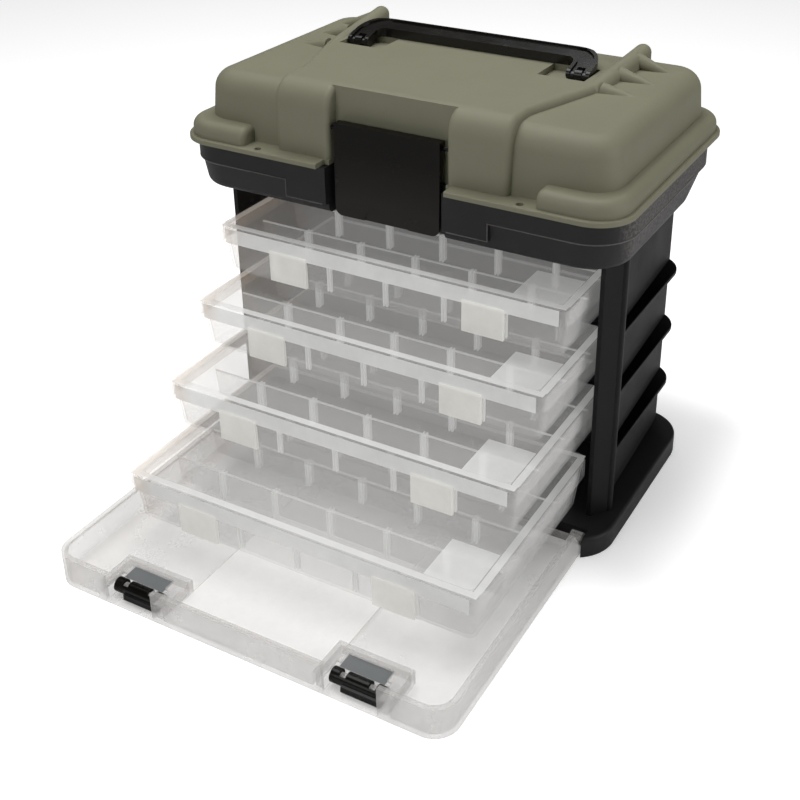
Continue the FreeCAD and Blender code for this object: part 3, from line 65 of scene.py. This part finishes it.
def camera_axes(azimuth, elevation, roll):
    """Right, up and back of a camera that looks along +Y at azimuth 0."""
    back = Vector((math.sin(azimuth) * math.cos(elevation),
                   -math.cos(azimuth) * math.cos(elevation),
                   math.sin(elevation)))
    right = Vector((math.cos(azimuth), math.sin(azimuth), 0))
    up = back.cross(right)
    tilted_right = right * math.cos(roll) + up * math.sin(roll)
    tilted_up = up * math.cos(roll) - right * math.sin(roll)
    return tilted_right, tilted_up, back


def make_camera():
    data = bpy.data.cameras.new("camera")
    data.lens = LENS_MM
    data.sensor_width = 36
    data.shift_x, data.shift_y = LENS_SHIFT
    data.clip_end = 50
    camera = bpy.data.objects.new("camera", data)
    right, up, back = camera_axes(VIEW_AZIMUTH, VIEW_ELEVATION, VIEW_ROLL)
    turn = Matrix((right, up, back)).transposed().to_4x4()
    camera.matrix_world = Matrix.Translation(EYE) @ turn
    bpy.context.collection.objects.link(camera)
    bpy.context.scene.camera = camera
    print("camera at", tuple(round(value, 3) for value in EYE), "m")


make_camera()

# %% [markdown]
# ## Studio
#
# The cabinet stands in a white sweep. The background is white because the floor and the
# world are white where the camera sees them, not because more light falls on the object.
# The floor is given less of that whiteness close to the base, which is a painted shadow: with it
# the soft shadow that the object throws there still shows.

# %% Floor, world and lamps
WORLD_LEVEL = 0.62
BACKDROP_LEVEL = 1.0
FLOOR_RADIUS = 6.0
FLOOR_GLOW = 0.64          # how much whiter the floor looks than its own light makes it
# Less glow beside the base paints a shadow on the floor, over the object's real one.
SHADE_GLOW = 0.34          # the same beside the base, where the object's shadow lies
SHADE_CENTRE = (0.014, 0.022, 0.0)
SHADE_HALF = (0.2155, 0.119, 1.0)
SHADE_REACH = 0.085        # how far from the base the floor gets back to its full whiteness


def seen_directly(nodes, links):
    """1 where the camera looks, also through clear plastic, and 0 for every other ray."""
    path = nodes.new("ShaderNodeLightPath")
    seen = nodes.new("ShaderNodeMath")
    seen.operation = "MAXIMUM"
    links.new(path.outputs["Is Camera Ray"], seen.inputs[0])
    links.new(path.outputs["Is Transmission Ray"], seen.inputs[1])
    return seen.outputs[0]


def make_world():
    world = bpy.data.worlds.new("studio")
    bpy.context.scene.world = world
    world.use_nodes = True
    nodes, links = world.node_tree.nodes, world.node_tree.links
    background = nodes["Background"]
    level = nodes.new("ShaderNodeMapRange")
    level.inputs["To Min"].default_value = WORLD_LEVEL
    level.inputs["To Max"].default_value = BACKDROP_LEVEL
    links.new(seen_directly(nodes, links), level.inputs["Value"])
    links.new(level.outputs[0], background.inputs["Strength"])


def vector_step(nodes, links, operation, source, value=None):
    """One vector sum on source; LENGTH gives a number and every other operation a vector."""
    step = nodes.new("ShaderNodeVectorMath")
    step.operation = operation
    links.new(source, step.inputs[0])
    if value is not None:
        step.inputs[1].default_value = value
    return step.outputs["Value" if operation == "LENGTH" else "Vector"]


def floor_glow(nodes, links):
    """Glow from the distance to the base's rectangle: the length of what sticks out of it."""
    # Lower glow near the base is painted shade on the floor.
    place = nodes.new("ShaderNodeTexCoord").outputs["Object"]
    offset = vector_step(nodes, links, "SUBTRACT", place, SHADE_CENTRE)
    outside = vector_step(nodes, links, "ABSOLUTE", offset)
    outside = vector_step(nodes, links, "SUBTRACT", outside, SHADE_HALF)
    outside = vector_step(nodes, links, "MAXIMUM", outside, (0, 0, 0))
    spread = nodes.new("ShaderNodeMapRange")
    spread.interpolation_type = "SMOOTHSTEP"
    spread.inputs["From Max"].default_value = SHADE_REACH
    spread.inputs["To Min"].default_value = SHADE_GLOW
    spread.inputs["To Max"].default_value = FLOOR_GLOW
    links.new(vector_step(nodes, links, "LENGTH", outside), spread.inputs["Value"])
    return spread.outputs[0]


def make_floor():
    bpy.ops.mesh.primitive_circle_add(vertices=96, radius=FLOOR_RADIUS, fill_type="NGON")
    floor = bpy.context.object
    floor.name = "floor"
    material = bpy.data.materials.new("white sweep")
    material.use_nodes = True
    nodes, links = material.node_tree.nodes, material.node_tree.links
    shader = nodes["Principled BSDF"]
    shader.inputs["Base Color"].default_value = (0.92, 0.92, 0.92, 1)
    shader.inputs["Roughness"].default_value = 0.9
    shader.inputs["Specular IOR Level"].default_value = 0.1
    shader.inputs["Emission Color"].default_value = (1, 1, 1, 1)
    glow = nodes.new("ShaderNodeMath")
    glow.operation = "MULTIPLY"
    links.new(seen_directly(nodes, links), glow.inputs[0])
    links.new(floor_glow(nodes, links), glow.inputs[1])
    links.new(glow.outputs[0], shader.inputs["Emission Strength"])
    floor.data.materials.append(material)


def make_lamp(name, place, target, size, watts):
    """A white area lamp, turned so that its own -Z looks at the target."""
    data = bpy.data.lights.new(name, "AREA")
    data.shape = "RECTANGLE"
    data.size, data.size_y = size
    data.energy = watts
    lamp = bpy.data.objects.new(name, data)
    lamp.location = place
    lamp.rotation_euler = (Vector(target) - Vector(place)).to_track_quat("-Z", "Y").to_euler()
    bpy.context.collection.objects.link(lamp)


make_world()
make_floor()
make_lamp("overhead", (-0.25, 0.15, 1.9), (0, 0, 0.2), (1.6, 1.4), 26)
make_lamp("right fill", (1.9, 0.1, 0.75), (0.1, 0, 0.2), (1.0, 1.2), 12)
make_lamp("front fill", (-0.2, -2.2, 1.1), (0, -0.1, 0.15), (1.6, 1.0), 13)
bpy.context.scene.view_settings.view_transform = "Standard"
print("lamps:", len(bpy.data.lights))

# %% [markdown]
# ## Shared effects
#
# Moulded plastic is never quite smooth: a spark-eroded mould leaves a fine pebble on it, and
# handling leaves faint smears. Both are used by several finishes, so each is a node group
# with named inputs, placed in every material with its own values.

# %% Node groups


def new_group(name, inputs, outputs):
    group = bpy.data.node_groups.new(name, "ShaderNodeTree")
    for socket, value in inputs.items():
        made = group.interface.new_socket(socket, in_out="INPUT", socket_type="NodeSocketFloat")
        made.default_value = value
    for socket, kind in outputs.items():
        group.interface.new_socket(socket, in_out="OUTPUT", socket_type=kind)
    start = group.nodes.new("NodeGroupInput")
    end = group.nodes.new("NodeGroupOutput")
    return group, start, end


def make_pebble_group():
    """Fine moulded grain: a normal from a small noise, and a mask that varies colour a little."""
    group, start, end = new_group(
        "moulded grain", {"Scale": 1500.0, "Depth": 0.2, "Distance": 0.0002},
        {"Normal": "NodeSocketVector", "Mask": "NodeSocketFloat"})
    nodes, links = group.nodes, group.links
    place = nodes.new("ShaderNodeTexCoord")
    noise = nodes.new("ShaderNodeTexNoise")
    noise.inputs["Detail"].default_value = 3.0
    links.new(place.outputs["Object"], noise.inputs["Vector"])
    links.new(start.outputs["Scale"], noise.inputs["Scale"])
    bump = nodes.new("ShaderNodeBump")
    links.new(noise.outputs["Fac"], bump.inputs["Height"])
    links.new(start.outputs["Depth"], bump.inputs["Strength"])
    links.new(start.outputs["Distance"], bump.inputs["Distance"])
    links.new(bump.outputs["Normal"], end.inputs["Normal"])
    links.new(noise.outputs["Fac"], end.inputs["Mask"])
    return group


def make_smear_group():
    """Large soft patches, as handling and light dust leave them."""
    group, start, end = new_group("handling smears", {"Scale": 9.0, "Low": 0.4, "High": 0.6},
                                  {"Value": "NodeSocketFloat"})
    nodes, links = group.nodes, group.links
    place = nodes.new("ShaderNodeTexCoord")
    noise = nodes.new("ShaderNodeTexNoise")
    noise.inputs["Detail"].default_value = 5.0
    noise.inputs["Roughness"].default_value = 0.6
    links.new(place.outputs["Object"], noise.inputs["Vector"])
    links.new(start.outputs["Scale"], noise.inputs["Scale"])
    spread = nodes.new("ShaderNodeMapRange")
    spread.inputs["From Min"].default_value = 0.3
    spread.inputs["From Max"].default_value = 0.7
    links.new(noise.outputs["Fac"], spread.inputs["Value"])
    links.new(start.outputs["Low"], spread.inputs["To Min"])
    links.new(start.outputs["High"], spread.inputs["To Max"])
    links.new(spread.outputs[0], end.inputs["Value"])
    return group


GRAIN = make_pebble_group()
SMEARS = make_smear_group()

# %% [markdown]
# ## Finishes
#
# The opaque plastics share one function: they differ in colour, in how coarse their grain is
# and in how much they shine. The tray, the latch and the ribs change along the piece, and have
# a function each that builds on it: the tray's paler ends and the latch's lighter lower part
# are painted light, and the ribs' deep black top is painted shade. The clear plastics are thin,
# milky films: they let some of what is behind through and add their own pale haze, more of it
# at a glancing angle. Most of them also glow a little, which is painted light.

# %% Opaque plastics


def new_material(name):
    material = bpy.data.materials.new(name)
    material.use_nodes = True
    return material, material.node_tree.nodes, material.node_tree.links


def place_group(nodes, group, **values):
    node = nodes.new("ShaderNodeGroup")
    node.node_tree = group
    for socket, value in values.items():
        node.inputs[socket].default_value = value
    return node


def moulded_plastic(name, dark, light, roughness, scale, depth, distance, specular=0.5):
    """Grained plastic: colour runs between two close tones, roughness between two limits."""
    material, nodes, links = new_material(name)
    shader = nodes["Principled BSDF"]
    shader.inputs["Specular IOR Level"].default_value = specular
    grain = place_group(nodes, GRAIN, Scale=scale, Depth=depth, Distance=distance)
    tint = nodes.new("ShaderNodeMix")
    tint.data_type = "RGBA"
    tint.inputs["A"].default_value = (*dark, 1)
    tint.inputs["B"].default_value = (*light, 1)
    smear = place_group(nodes, SMEARS, Scale=14.0, Low=0.15, High=0.85)
    links.new(smear.outputs["Value"], tint.inputs["Factor"])
    links.new(tint.outputs["Result"], shader.inputs["Base Color"])
    gloss = place_group(nodes, SMEARS, Scale=22.0, Low=roughness[0], High=roughness[1])
    links.new(gloss.outputs["Value"], shader.inputs["Roughness"])
    links.new(grain.outputs["Normal"], shader.inputs["Normal"])
    return material


OLIVE = moulded_plastic("olive lid plastic", (0.225, 0.220, 0.152), (0.245, 0.240, 0.168),
                        (0.52, 0.62), 1400.0, 0.35, 0.00025, 0.35)
BLACK = moulded_plastic("black moulded plastic", (0.009, 0.0085, 0.009), (0.014, 0.013, 0.014),
                        (0.44, 0.54), 1100.0, 0.6, 0.0003, 0.35)
TOWER = moulded_plastic("black tower plastic", (0.0050, 0.0045, 0.0045), (0.0080, 0.0072, 0.0072),
                        (0.40, 0.50), 1100.0, 0.5, 0.0003, 0.22)
PANEL = moulded_plastic("black panel plastic, coarse grain", (0.0120, 0.0112, 0.0114),
                        (0.0180, 0.0168, 0.0170), (0.55, 0.68), 900.0, 0.9, 0.0004, 0.35)
GLOSS = moulded_plastic("black smooth plastic", (0.0035, 0.003, 0.0025), (0.006, 0.005, 0.004),
                        (0.22, 0.30), 500.0, 0.05, 0.0001, 0.22)
HANDLE = moulded_plastic("black handle plastic", (0.0050, 0.0042, 0.0036), (0.0080, 0.0070, 0.0060),
                         (0.20, 0.30), 700.0, 0.05, 0.0001, 0.45)
STEEL = moulded_plastic("plain steel", (0.32, 0.32, 0.32), (0.38, 0.38, 0.38),
                        (0.30, 0.40), 900.0, 0.1, 0.0001)
STEEL.node_tree.nodes["Principled BSDF"].inputs["Metallic"].default_value = 1.0

# The tray's two ends are painted paler than its front: painted light, for the side light on them.
END_STARTS, END_WHOLE = 0.208, 0.2145      # where along X the tray's coarse ends begin and are full


def tray_plastic():
    """Fine grain on the front; the tray's two ends have a coarse pebble, painted paler as light."""
    material = moulded_plastic("black tray plastic", (0.011, 0.0105, 0.011), (0.016, 0.015, 0.016),
                               (0.46, 0.56), 1100.0, 0.6, 0.0003, 0.35)
    nodes, links = material.node_tree.nodes, material.node_tree.links
    place = nodes.new("ShaderNodeTexCoord")
    split = nodes.new("ShaderNodeSeparateXYZ")
    links.new(place.outputs["Object"], split.inputs[0])
    outward = nodes.new("ShaderNodeMath")
    outward.operation = "ABSOLUTE"
    links.new(split.outputs["X"], outward.inputs[0])
    at_end = nodes.new("ShaderNodeMapRange")
    at_end.inputs["From Min"].default_value = END_STARTS
    at_end.inputs["From Max"].default_value = END_WHOLE
    links.new(outward.outputs[0], at_end.inputs["Value"])
    pebble = place_group(nodes, GRAIN, Scale=420.0, Depth=0.2, Distance=0.0002)
    speckle = nodes.new("ShaderNodeMapRange")
    speckle.inputs["From Min"].default_value = 0.42
    speckle.inputs["From Max"].default_value = 0.62
    links.new(pebble.outputs["Mask"], speckle.inputs["Value"])
    painted_light_speckle = nodes.new("ShaderNodeMix")
    painted_light_speckle.data_type = "RGBA"
    painted_light_speckle.inputs["A"].default_value = (0.040, 0.036, 0.035, 1)
    painted_light_speckle.inputs["B"].default_value = (0.115, 0.105, 0.100, 1)
    links.new(speckle.outputs[0], painted_light_speckle.inputs["Factor"])
    shader = nodes["Principled BSDF"]
    plain_tone = shader.inputs["Base Color"].links[0].from_socket
    whole = nodes.new("ShaderNodeMix")
    whole.data_type = "RGBA"
    links.new(at_end.outputs[0], whole.inputs["Factor"])
    links.new(plain_tone, whole.inputs["A"])
    links.new(painted_light_speckle.outputs["Result"], whole.inputs["B"])
    links.new(whole.outputs["Result"], shader.inputs["Base Color"])
    return material


TRAY = tray_plastic()
# The bead's pale colour is a painted highlight along the lower edge of the tray's band.
EDGE_LINE = moulded_plastic("black plastic, painted highlight on the edge", (0.105, 0.098, 0.094),
                            (0.125, 0.118, 0.112), (0.30, 0.40), 1100.0, 0.2, 0.0002, 0.4)

# %% Clear plastics


def tint_along(nodes, links, axis, start, end, first, last):
    """A colour that runs from first to last between two places along an axis of the object."""
    place = nodes.new("ShaderNodeTexCoord")
    split = nodes.new("ShaderNodeSeparateXYZ")
    links.new(place.outputs["Object"], split.inputs[0])
    ramp = nodes.new("ShaderNodeMapRange")
    ramp.inputs["From Min"].default_value = start
    ramp.inputs["From Max"].default_value = end
    links.new(split.outputs[axis], ramp.inputs["Value"])
    tint = nodes.new("ShaderNodeMix")
    tint.data_type = "RGBA"
    tint.inputs["A"].default_value = (*first, 1)
    tint.inputs["B"].default_value = (*last, 1)
    links.new(ramp.outputs[0], tint.inputs["Factor"])
    return tint.outputs["Result"]


# Between these places along X the clear parts' left ends are painted warmer: painted light.
PAINTED_END_LIGHT_X, PLAIN_FROM_X = -0.172, -0.150


def frosted_plastic(name, painted_end_light, colour, haze, edge_haze, roughness, glow=0.0):
    """A milky film: its cover grows from haze, seen square on, to edge_haze at a glance.

    Its colour runs from a warmer tone at the left end to the plain colour over the rest. The
    warmer end is painted light, the tone of the light that comes through the moulding where it
    stands clear of the dark tower. Its own emission is painted light too.
    tower, to the plain colour over the rest."""
    material, nodes, links = new_material(name)
    shader = nodes["Principled BSDF"]
    shader.inputs["Roughness"].default_value = roughness
    shader.inputs["Specular IOR Level"].default_value = 0.4
    # Its own emission is painted light: the plastic glows though it is no lamp.
    shader.inputs["Emission Strength"].default_value = glow
    tone = tint_along(nodes, links, "X", PAINTED_END_LIGHT_X, PLAIN_FROM_X, painted_end_light, colour)
    links.new(tone, shader.inputs["Base Color"])
    links.new(tone, shader.inputs["Emission Color"])
    facing = nodes.new("ShaderNodeLayerWeight")
    facing.inputs["Blend"].default_value = 0.2
    smear = place_group(nodes, SMEARS, Scale=18.0, Low=haze * 0.85, High=haze * 1.15)
    cover = nodes.new("ShaderNodeMix")
    cover.inputs["B"].default_value = edge_haze
    links.new(facing.outputs["Facing"], cover.inputs["Factor"])
    links.new(smear.outputs["Value"], cover.inputs["A"])
    links.new(cover.outputs["Result"], shader.inputs["Alpha"])
    return material


WHITE = (0.97, 0.97, 0.96)
FROSTED = frosted_plastic("frosted box plastic", (0.86, 0.76, 0.66), (0.94, 0.93, 0.92),
                          0.06, 0.50, 0.32, 0.12)
PAINTED_EDGE_LIGHT = frosted_plastic("frosted plastic, painted edge light", (0.94, 0.87, 0.80), WHITE,
                        0.33, 0.78, 0.32, 0.21)
SKIRT = frosted_plastic("frosted plastic, painted light on the lid skirt", (0.88, 0.80, 0.72), WHITE,
                        0.42, 0.80, 0.35, 0.15)
CLIP = frosted_plastic("natural clip plastic", (0.93, 0.90, 0.85), (0.94, 0.93, 0.885),
                       0.45, 0.90, 0.30, 0.18)
CLEAR = frosted_plastic("clear door plastic", (0.78, 0.75, 0.72), (0.74, 0.72, 0.70),
                        0.24, 0.72, 0.20, 0.02)
PAD = frosted_plastic("clear door plastic, textured field", WHITE, (0.96, 0.95, 0.94),
                      0.55, 0.85, 0.30, 0.25)
WINDOW = frosted_plastic("shaded window plastic", (0.20, 0.215, 0.22), (0.20, 0.215, 0.22),
                         0.72, 0.85, 0.25)

# %% Plastics of the latch and the ribs
# The latch is painted lighter below its bend: painted light.
LATCH_PALE_BELOW, LATCH_DARK_ABOVE = 0.300, 0.345      # heights, either side of its bend


def latch_plastic():
    """Smooth near-black plastic with a brown cast; a little lighter below its bend, which is
    painted light.
    """
    material = moulded_plastic("black latch plastic", (0, 0, 0), (0, 0, 0),
                               (0.20, 0.30), 600.0, 0.04, 0.0001, 0.16)
    nodes, links = material.node_tree.nodes, material.node_tree.links
    tone = tint_along(nodes, links, "Z", LATCH_PALE_BELOW, LATCH_DARK_ABOVE,
                      (0.019, 0.017, 0.014), (0.0040, 0.0030, 0.0022))
    links.new(tone, nodes["Principled BSDF"].inputs["Base Color"])
    return material


LATCH = latch_plastic()

# The rib's colour is painted shade, deepest under the tray and paler towards the rear end.
RIB_DARK_UNTIL, RIB_PALE_FROM = 0.040, 0.105           # places along Y, towards its rear end


def rib_plastic():
    """Painted shade: deep black along the rib's top under the tray, a little paler at its open rear
    end.
    """
    material = moulded_plastic("black rib plastic, smooth, painted shade", (0, 0, 0), (0, 0, 0),
                               (0.30, 0.40), 1100.0, 0.2, 0.0002, 0.06)
    nodes, links = material.node_tree.nodes, material.node_tree.links
    tone = tint_along(nodes, links, "Y", RIB_DARK_UNTIL, RIB_PALE_FROM,
                      (0.0016, 0.0013, 0.0013), (0.016, 0.0145, 0.0145))
    links.new(tone, nodes["Principled BSDF"].inputs["Base Color"])
    return material


RIB = rib_plastic()
print("finishes:", len(bpy.data.materials))

# %% Dress the frame's own nodes

# A whole slot's finish, and the nodes whose own finish differs from their slot's.
FINISH_BY_SLOT = {
    "black_plastic": BLACK,
    "black_gloss": GLOSS,
    "olive_plastic": OLIVE,
    "frosted_box": FROSTED,
    "latch_plastic": CLIP,
    "clear_door": CLEAR,
    "steel": STEEL,
}
FINISH_BY_NODE = {
    "latch_plate": LATCH,
    "latch_pin": GLOSS,
    "front_frame": TOWER,
    "right_side_panel": PANEL,
    "left_side_panel": PANEL,
    "back_panel": PANEL,
    "handle": HANDLE,
    "handle_brackets": HANDLE,
    "right_runners": RIB,
    "left_runners": RIB,
    "tray": TRAY,
}


def dress_nodes():
    slots = {entry["node"]: entry["material_slot"] for entry in frame["record"]["subparts"]}
    for name, node in frame["nodes"].items():
        finish = FINISH_BY_NODE.get(name, FINISH_BY_SLOT[slots[name]])
        for slot in node.material_slots:
            slot.material = finish
    print("dressed:", len(slots), "nodes")


dress_nodes()

# %% [markdown]
# ## Edge light in the clear parts
#
# Clear and frosted mouldings look brightest where they are thick or seen edge on: round the
# lid's border, along the top of each wall, on the ribs that form the divider slots. Thin
# skins of a brighter, glowing plastic lie over those places, a fraction of a millimetre proud:
# they are painted edge light.

# %% Thin skins over the thick edges
MM = 0.001
UNIT_CORNERS = np.indices((2, 2, 2)).reshape(3, 8).T
UNIT_FACES = np.array([[0, 1, 3, 2], [4, 6, 7, 5], [0, 4, 5, 1],
                       [2, 3, 7, 6], [0, 2, 6, 4], [1, 5, 7, 3]])


def mesh_piece(name, points, faces, material, body):
    """A piece from its points in metres and its faces, riding on a body of the frame."""
    mesh = bpy.data.meshes.new(name)
    mesh.from_pydata(points.tolist(), [], faces)
    mesh.materials.append(material)
    piece = bpy.data.objects.new(name, mesh)
    bpy.context.collection.objects.link(piece)
    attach(piece, body)
    print(name, "faces:", len(faces))


def skin_object(name, boxes, material, body):
    """One mesh from several upright boxes, each a low and a high corner in millimetres.

    A point is the box's low corner plus the unit cube's corner times the box's size."""
    spans = np.array(boxes, dtype=float) * MM
    low, size = spans[:, None, 0], spans[:, None, 1] - spans[:, None, 0]
    points = (low + UNIT_CORNERS * size).reshape(-1, 3)
    faces = (UNIT_FACES + 8 * np.arange(len(boxes))[:, None, None]).reshape(-1, 4)
    mesh_piece(name, points, faces.tolist(), material, body)


# %% [markdown]
# ## Edges of the utility boxes
#
# The four boxes are one mould in four places, so one function for the lid and one for the body
# serve them all. A box is placed by its front face and the top of its lid, in millimetres.

# %% Skins of the utility boxes
BOX_FRONTS = {"a": -120.9, "b": -160.8, "c": -210.5, "d": -275.3}
BOX_TOPS = {"a": 249.8, "b": 188.8, "c": 127.8, "d": 66.8}
BOX_HALF, BOX_DEPTH, BOX_HEIGHT = 178.0, 224.0, 46.0

LID_SKIN = 0.12                          # how proud the lid's skins stand
BORDER_IN = 8.6                          # from the lid's edge to the border's inner side
BORDER_FRONT_GAP, BORDER_GAP, BORDER_END_GAP = 2.0, 3.0, 2.0
LABEL_X, LABEL_Y, LABEL_SUNK = (122.6, 167.4), (10.6, 60.4), 1.7

SKIRT_HALF, SKIRT_PROUD, SKIRT_CLEAR = 170.0, 0.1, 0.02
SKIRT_BOTTOM, SKIRT_TOP = 15.8, 1.0      # both measured down from the lid's top

SLOT_PITCH, SLOT_HALF_GAP, SLOT_RIB, RIB_OUT = 59.0, 0.9, 1.2, 4.0
ROW_PITCH, MIDDLE_ROW = 52.5, 112.4      # long walls, and the middle one from the box's front
WALL_REACH, WALL_HALF, WALL_DROP = 171.0, 0.9, 17.0
FRONT_RIB = (5.5, 8.2)                   # the ribs on the front wall's inside, from the front
FLOOR_CLEAR, WALL_SKIN, WALL_LIP = 3.0, 0.1, 1.0


def lid_edges(y0, top):
    """Skins that paint light on the border of the lid's plate and on the label pad at its right."""
    rear = y0 + BOX_DEPTH
    high = top + LID_SKIN
    inner_x, inner_front, inner_rear = BOX_HALF - BORDER_IN, y0 + BORDER_IN, rear - BORDER_IN
    outer_x, end_x = BOX_HALF - BORDER_GAP, BOX_HALF - BORDER_END_GAP
    label_z = top - LABEL_SUNK
    return [((-outer_x, y0 + BORDER_FRONT_GAP, top), (outer_x, inner_front, high)),
            ((-outer_x, inner_rear, top), (outer_x, rear - BORDER_GAP, high)),
            ((-end_x, inner_front, top), (-inner_x, inner_rear, high)),
            ((inner_x, inner_front, top), (end_x, inner_rear, high)),
            ((LABEL_X[0], y0 + LABEL_Y[0], label_z),
             (LABEL_X[1], y0 + LABEL_Y[1], label_z + LID_SKIN))]


def lid_skirt(y0, top):
    """Painted light on the band that hangs down the lid's front."""
    return [((-SKIRT_HALF, y0 - SKIRT_PROUD, top - SKIRT_BOTTOM),
             (SKIRT_HALF, y0 - SKIRT_CLEAR, top - SKIRT_TOP))]


def body_edges(y0, top):
    """Painted edge light on the tops of the long walls and of the ribs beside each divider slot,
    row by row.

    A slot's two ribs stand half its gap to the left and right of a multiple of the pitch."""
    low, high = top - BOX_HEIGHT + FLOOR_CLEAR, top - WALL_DROP + WALL_SKIN
    walls = [y0 + MIDDLE_ROW + row * ROW_PITCH for row in (-1, 0, 1)]
    pieces = [((-WALL_REACH, y - WALL_HALF, top - WALL_DROP - WALL_LIP),
               (WALL_REACH, y + WALL_HALF, high)) for y in walls]
    reaches = [(y - RIB_OUT, y - WALL_HALF) for y in walls]
    reaches += [(y + WALL_HALF, y + RIB_OUT) for y in walls]
    reaches.append((y0 + FRONT_RIB[0], y0 + FRONT_RIB[1]))
    for n in range(-2, 3):
        for side in (-1, 1):
            near = n * SLOT_PITCH + side * SLOT_HALF_GAP
            x0, x1 = sorted((near, near + side * SLOT_RIB))
            pieces += [((x0 - WALL_SKIN, y1, low), (x1 + WALL_SKIN, y2, high))
                       for y1, y2 in reaches]
    return pieces


for letter, front in BOX_FRONTS.items():
    top = BOX_TOPS[letter]
    skin_object(f"box_{letter}_lid_edges", lid_edges(front, top), PAINTED_EDGE_LIGHT, f"box_{letter}_lid")
    skin_object(f"box_{letter}_lid_skirt", lid_skirt(front, top), SKIRT, f"box_{letter}_lid")
    skin_object(f"box_{letter}_body_edges", body_edges(front, top), PAINTED_EDGE_LIGHT, f"box_{letter}")

# %% [markdown]
# ## The door's field and windows
#
# The middle of the clear door is lightly textured, so it looks paler than the rest; it also
# glows a little, which is painted light. Over each clip's housing the door is doubled, and the
# dark clip behind makes a grey window of it.

# %% Skins of the door
FIELD_HALF, FIELD_FRONT, FIELD_REAR, FIELD_Z = 75.5, -334.5, -165.5, (4.2, 4.3)
WINDOW_X, WINDOW_HALF = 110.0, 20.8
WINDOW_FRONT, WINDOW_REAR, WINDOW_Z = -339.7, -325.1, (14.8, 15.0)

field = [((-FIELD_HALF, FIELD_FRONT, FIELD_Z[0]), (FIELD_HALF, FIELD_REAR, FIELD_Z[1]))]
windows = [((x - WINDOW_HALF, WINDOW_FRONT, WINDOW_Z[0]),
            (x + WINDOW_HALF, WINDOW_REAR, WINDOW_Z[1])) for x in (-WINDOW_X, WINDOW_X)]
skin_object("door_field", field, PAD, "door")
skin_object("door_windows", windows, WINDOW, "door")

# %% [markdown]
# ## The tray's edge line
#
# The tray's face has a band that stands out under the lid and comes lower round the latch.
# Its rounded lower edge catches the light as one thin line. A slim bead of pale plastic, a
# small circle carried along that edge, is a painted highlight: it shows the line under any light.

# %% Bead along the band's lower edge
BAND_HALF, BAND_FRONT, BAND_REAR = 216.5, -116.0, 143.0
BAND_FRONT_RADIUS, BAND_REAR_RADIUS = 40.5, 52.5
BAND_Z, DROP_Z = 308.9, 292.9            # the band's lower edge, and the same round the latch
DROP_HALF, POCKET_EDGE = 101.0, 62.0     # where the low stretch ends, and where the pocket starts
LINE_INSET, LINE_RADIUS = 0.53, 0.75
ARC_STEPS = 12


def corner_arc(x, y, radius, first_degrees):
    """A quarter circle in plan: centre plus radius times the cosine and sine of the angle."""
    angle = np.radians(np.linspace(first_degrees, first_degrees + 90, ARC_STEPS))
    return np.column_stack((x + radius * np.cos(angle), y + radius * np.sin(angle)))


def band_path():
    """The edge line from the pocket's right side, round the back, to the pocket's left side."""
    half, front, rear = BAND_HALF - LINE_INSET, BAND_FRONT + LINE_INSET, BAND_REAR - LINE_INSET
    r1, r2 = BAND_FRONT_RADIUS - LINE_INSET, BAND_REAR_RADIUS - LINE_INSET
    low, high = DROP_Z + LINE_INSET, BAND_Z + LINE_INSET
    plan = np.vstack((corner_arc(half - r1, front + r1, r1, -90),
                      corner_arc(half - r2, rear - r2, r2, 0)))
    level = np.column_stack((plan, np.full(len(plan), high)))
    step_x = DROP_HALF - LINE_INSET
    start = np.array([[POCKET_EDGE, front, low], [step_x, front, low], [step_x, front, high]])
    right = np.vstack((start, level))
    return np.vstack((right, right[::-1] * (-1, 1, 1)))


BEAD_SIDES = 8
OFF_PATH = np.array([0.31, -0.83, 0.46])      # a direction that no stretch of the path has


def bead_along(name, path, radius, material, body):
    """A tube: at each point of the path, a circle across the path's mean direction there.

    The circle's first axis is the cross product of that direction and OFF_PATH, and its second
    axis is the cross product of the direction and the first."""
    along = np.diff(path, axis=0)
    along /= np.linalg.norm(along, axis=1, keepdims=True)
    direction = np.vstack((along[:1], along[:-1] + along[1:], along[-1:]))
    direction /= np.linalg.norm(direction, axis=1, keepdims=True)
    first = np.cross(direction, OFF_PATH)
    first /= np.linalg.norm(first, axis=1, keepdims=True)
    second = np.cross(direction, first)
    angle = np.linspace(0, 2 * np.pi, BEAD_SIDES, endpoint=False)[None, :, None]
    ring = np.cos(angle) * first[:, None] + np.sin(angle) * second[:, None]
    points = (path[:, None] + radius * ring).reshape(-1, 3) * MM
    row, column = np.meshgrid(np.arange(len(path) - 1), np.arange(BEAD_SIDES), indexing="ij")
    here = row * BEAD_SIDES + column
    after = row * BEAD_SIDES + (column + 1) % BEAD_SIDES
    sides = np.stack((here, after, after + BEAD_SIDES, here + BEAD_SIDES), axis=-1)
    first_ring = np.arange(BEAD_SIDES)
    last_ring = first_ring + (len(path) - 1) * BEAD_SIDES
    caps = [first_ring[::-1].tolist(), last_ring.tolist()]
    mesh_piece(name, points, sides.reshape(-1, 4).tolist() + caps, material, body)


bead_along("tray_edge_line", band_path(), LINE_RADIUS, EDGE_LINE, "cabinet")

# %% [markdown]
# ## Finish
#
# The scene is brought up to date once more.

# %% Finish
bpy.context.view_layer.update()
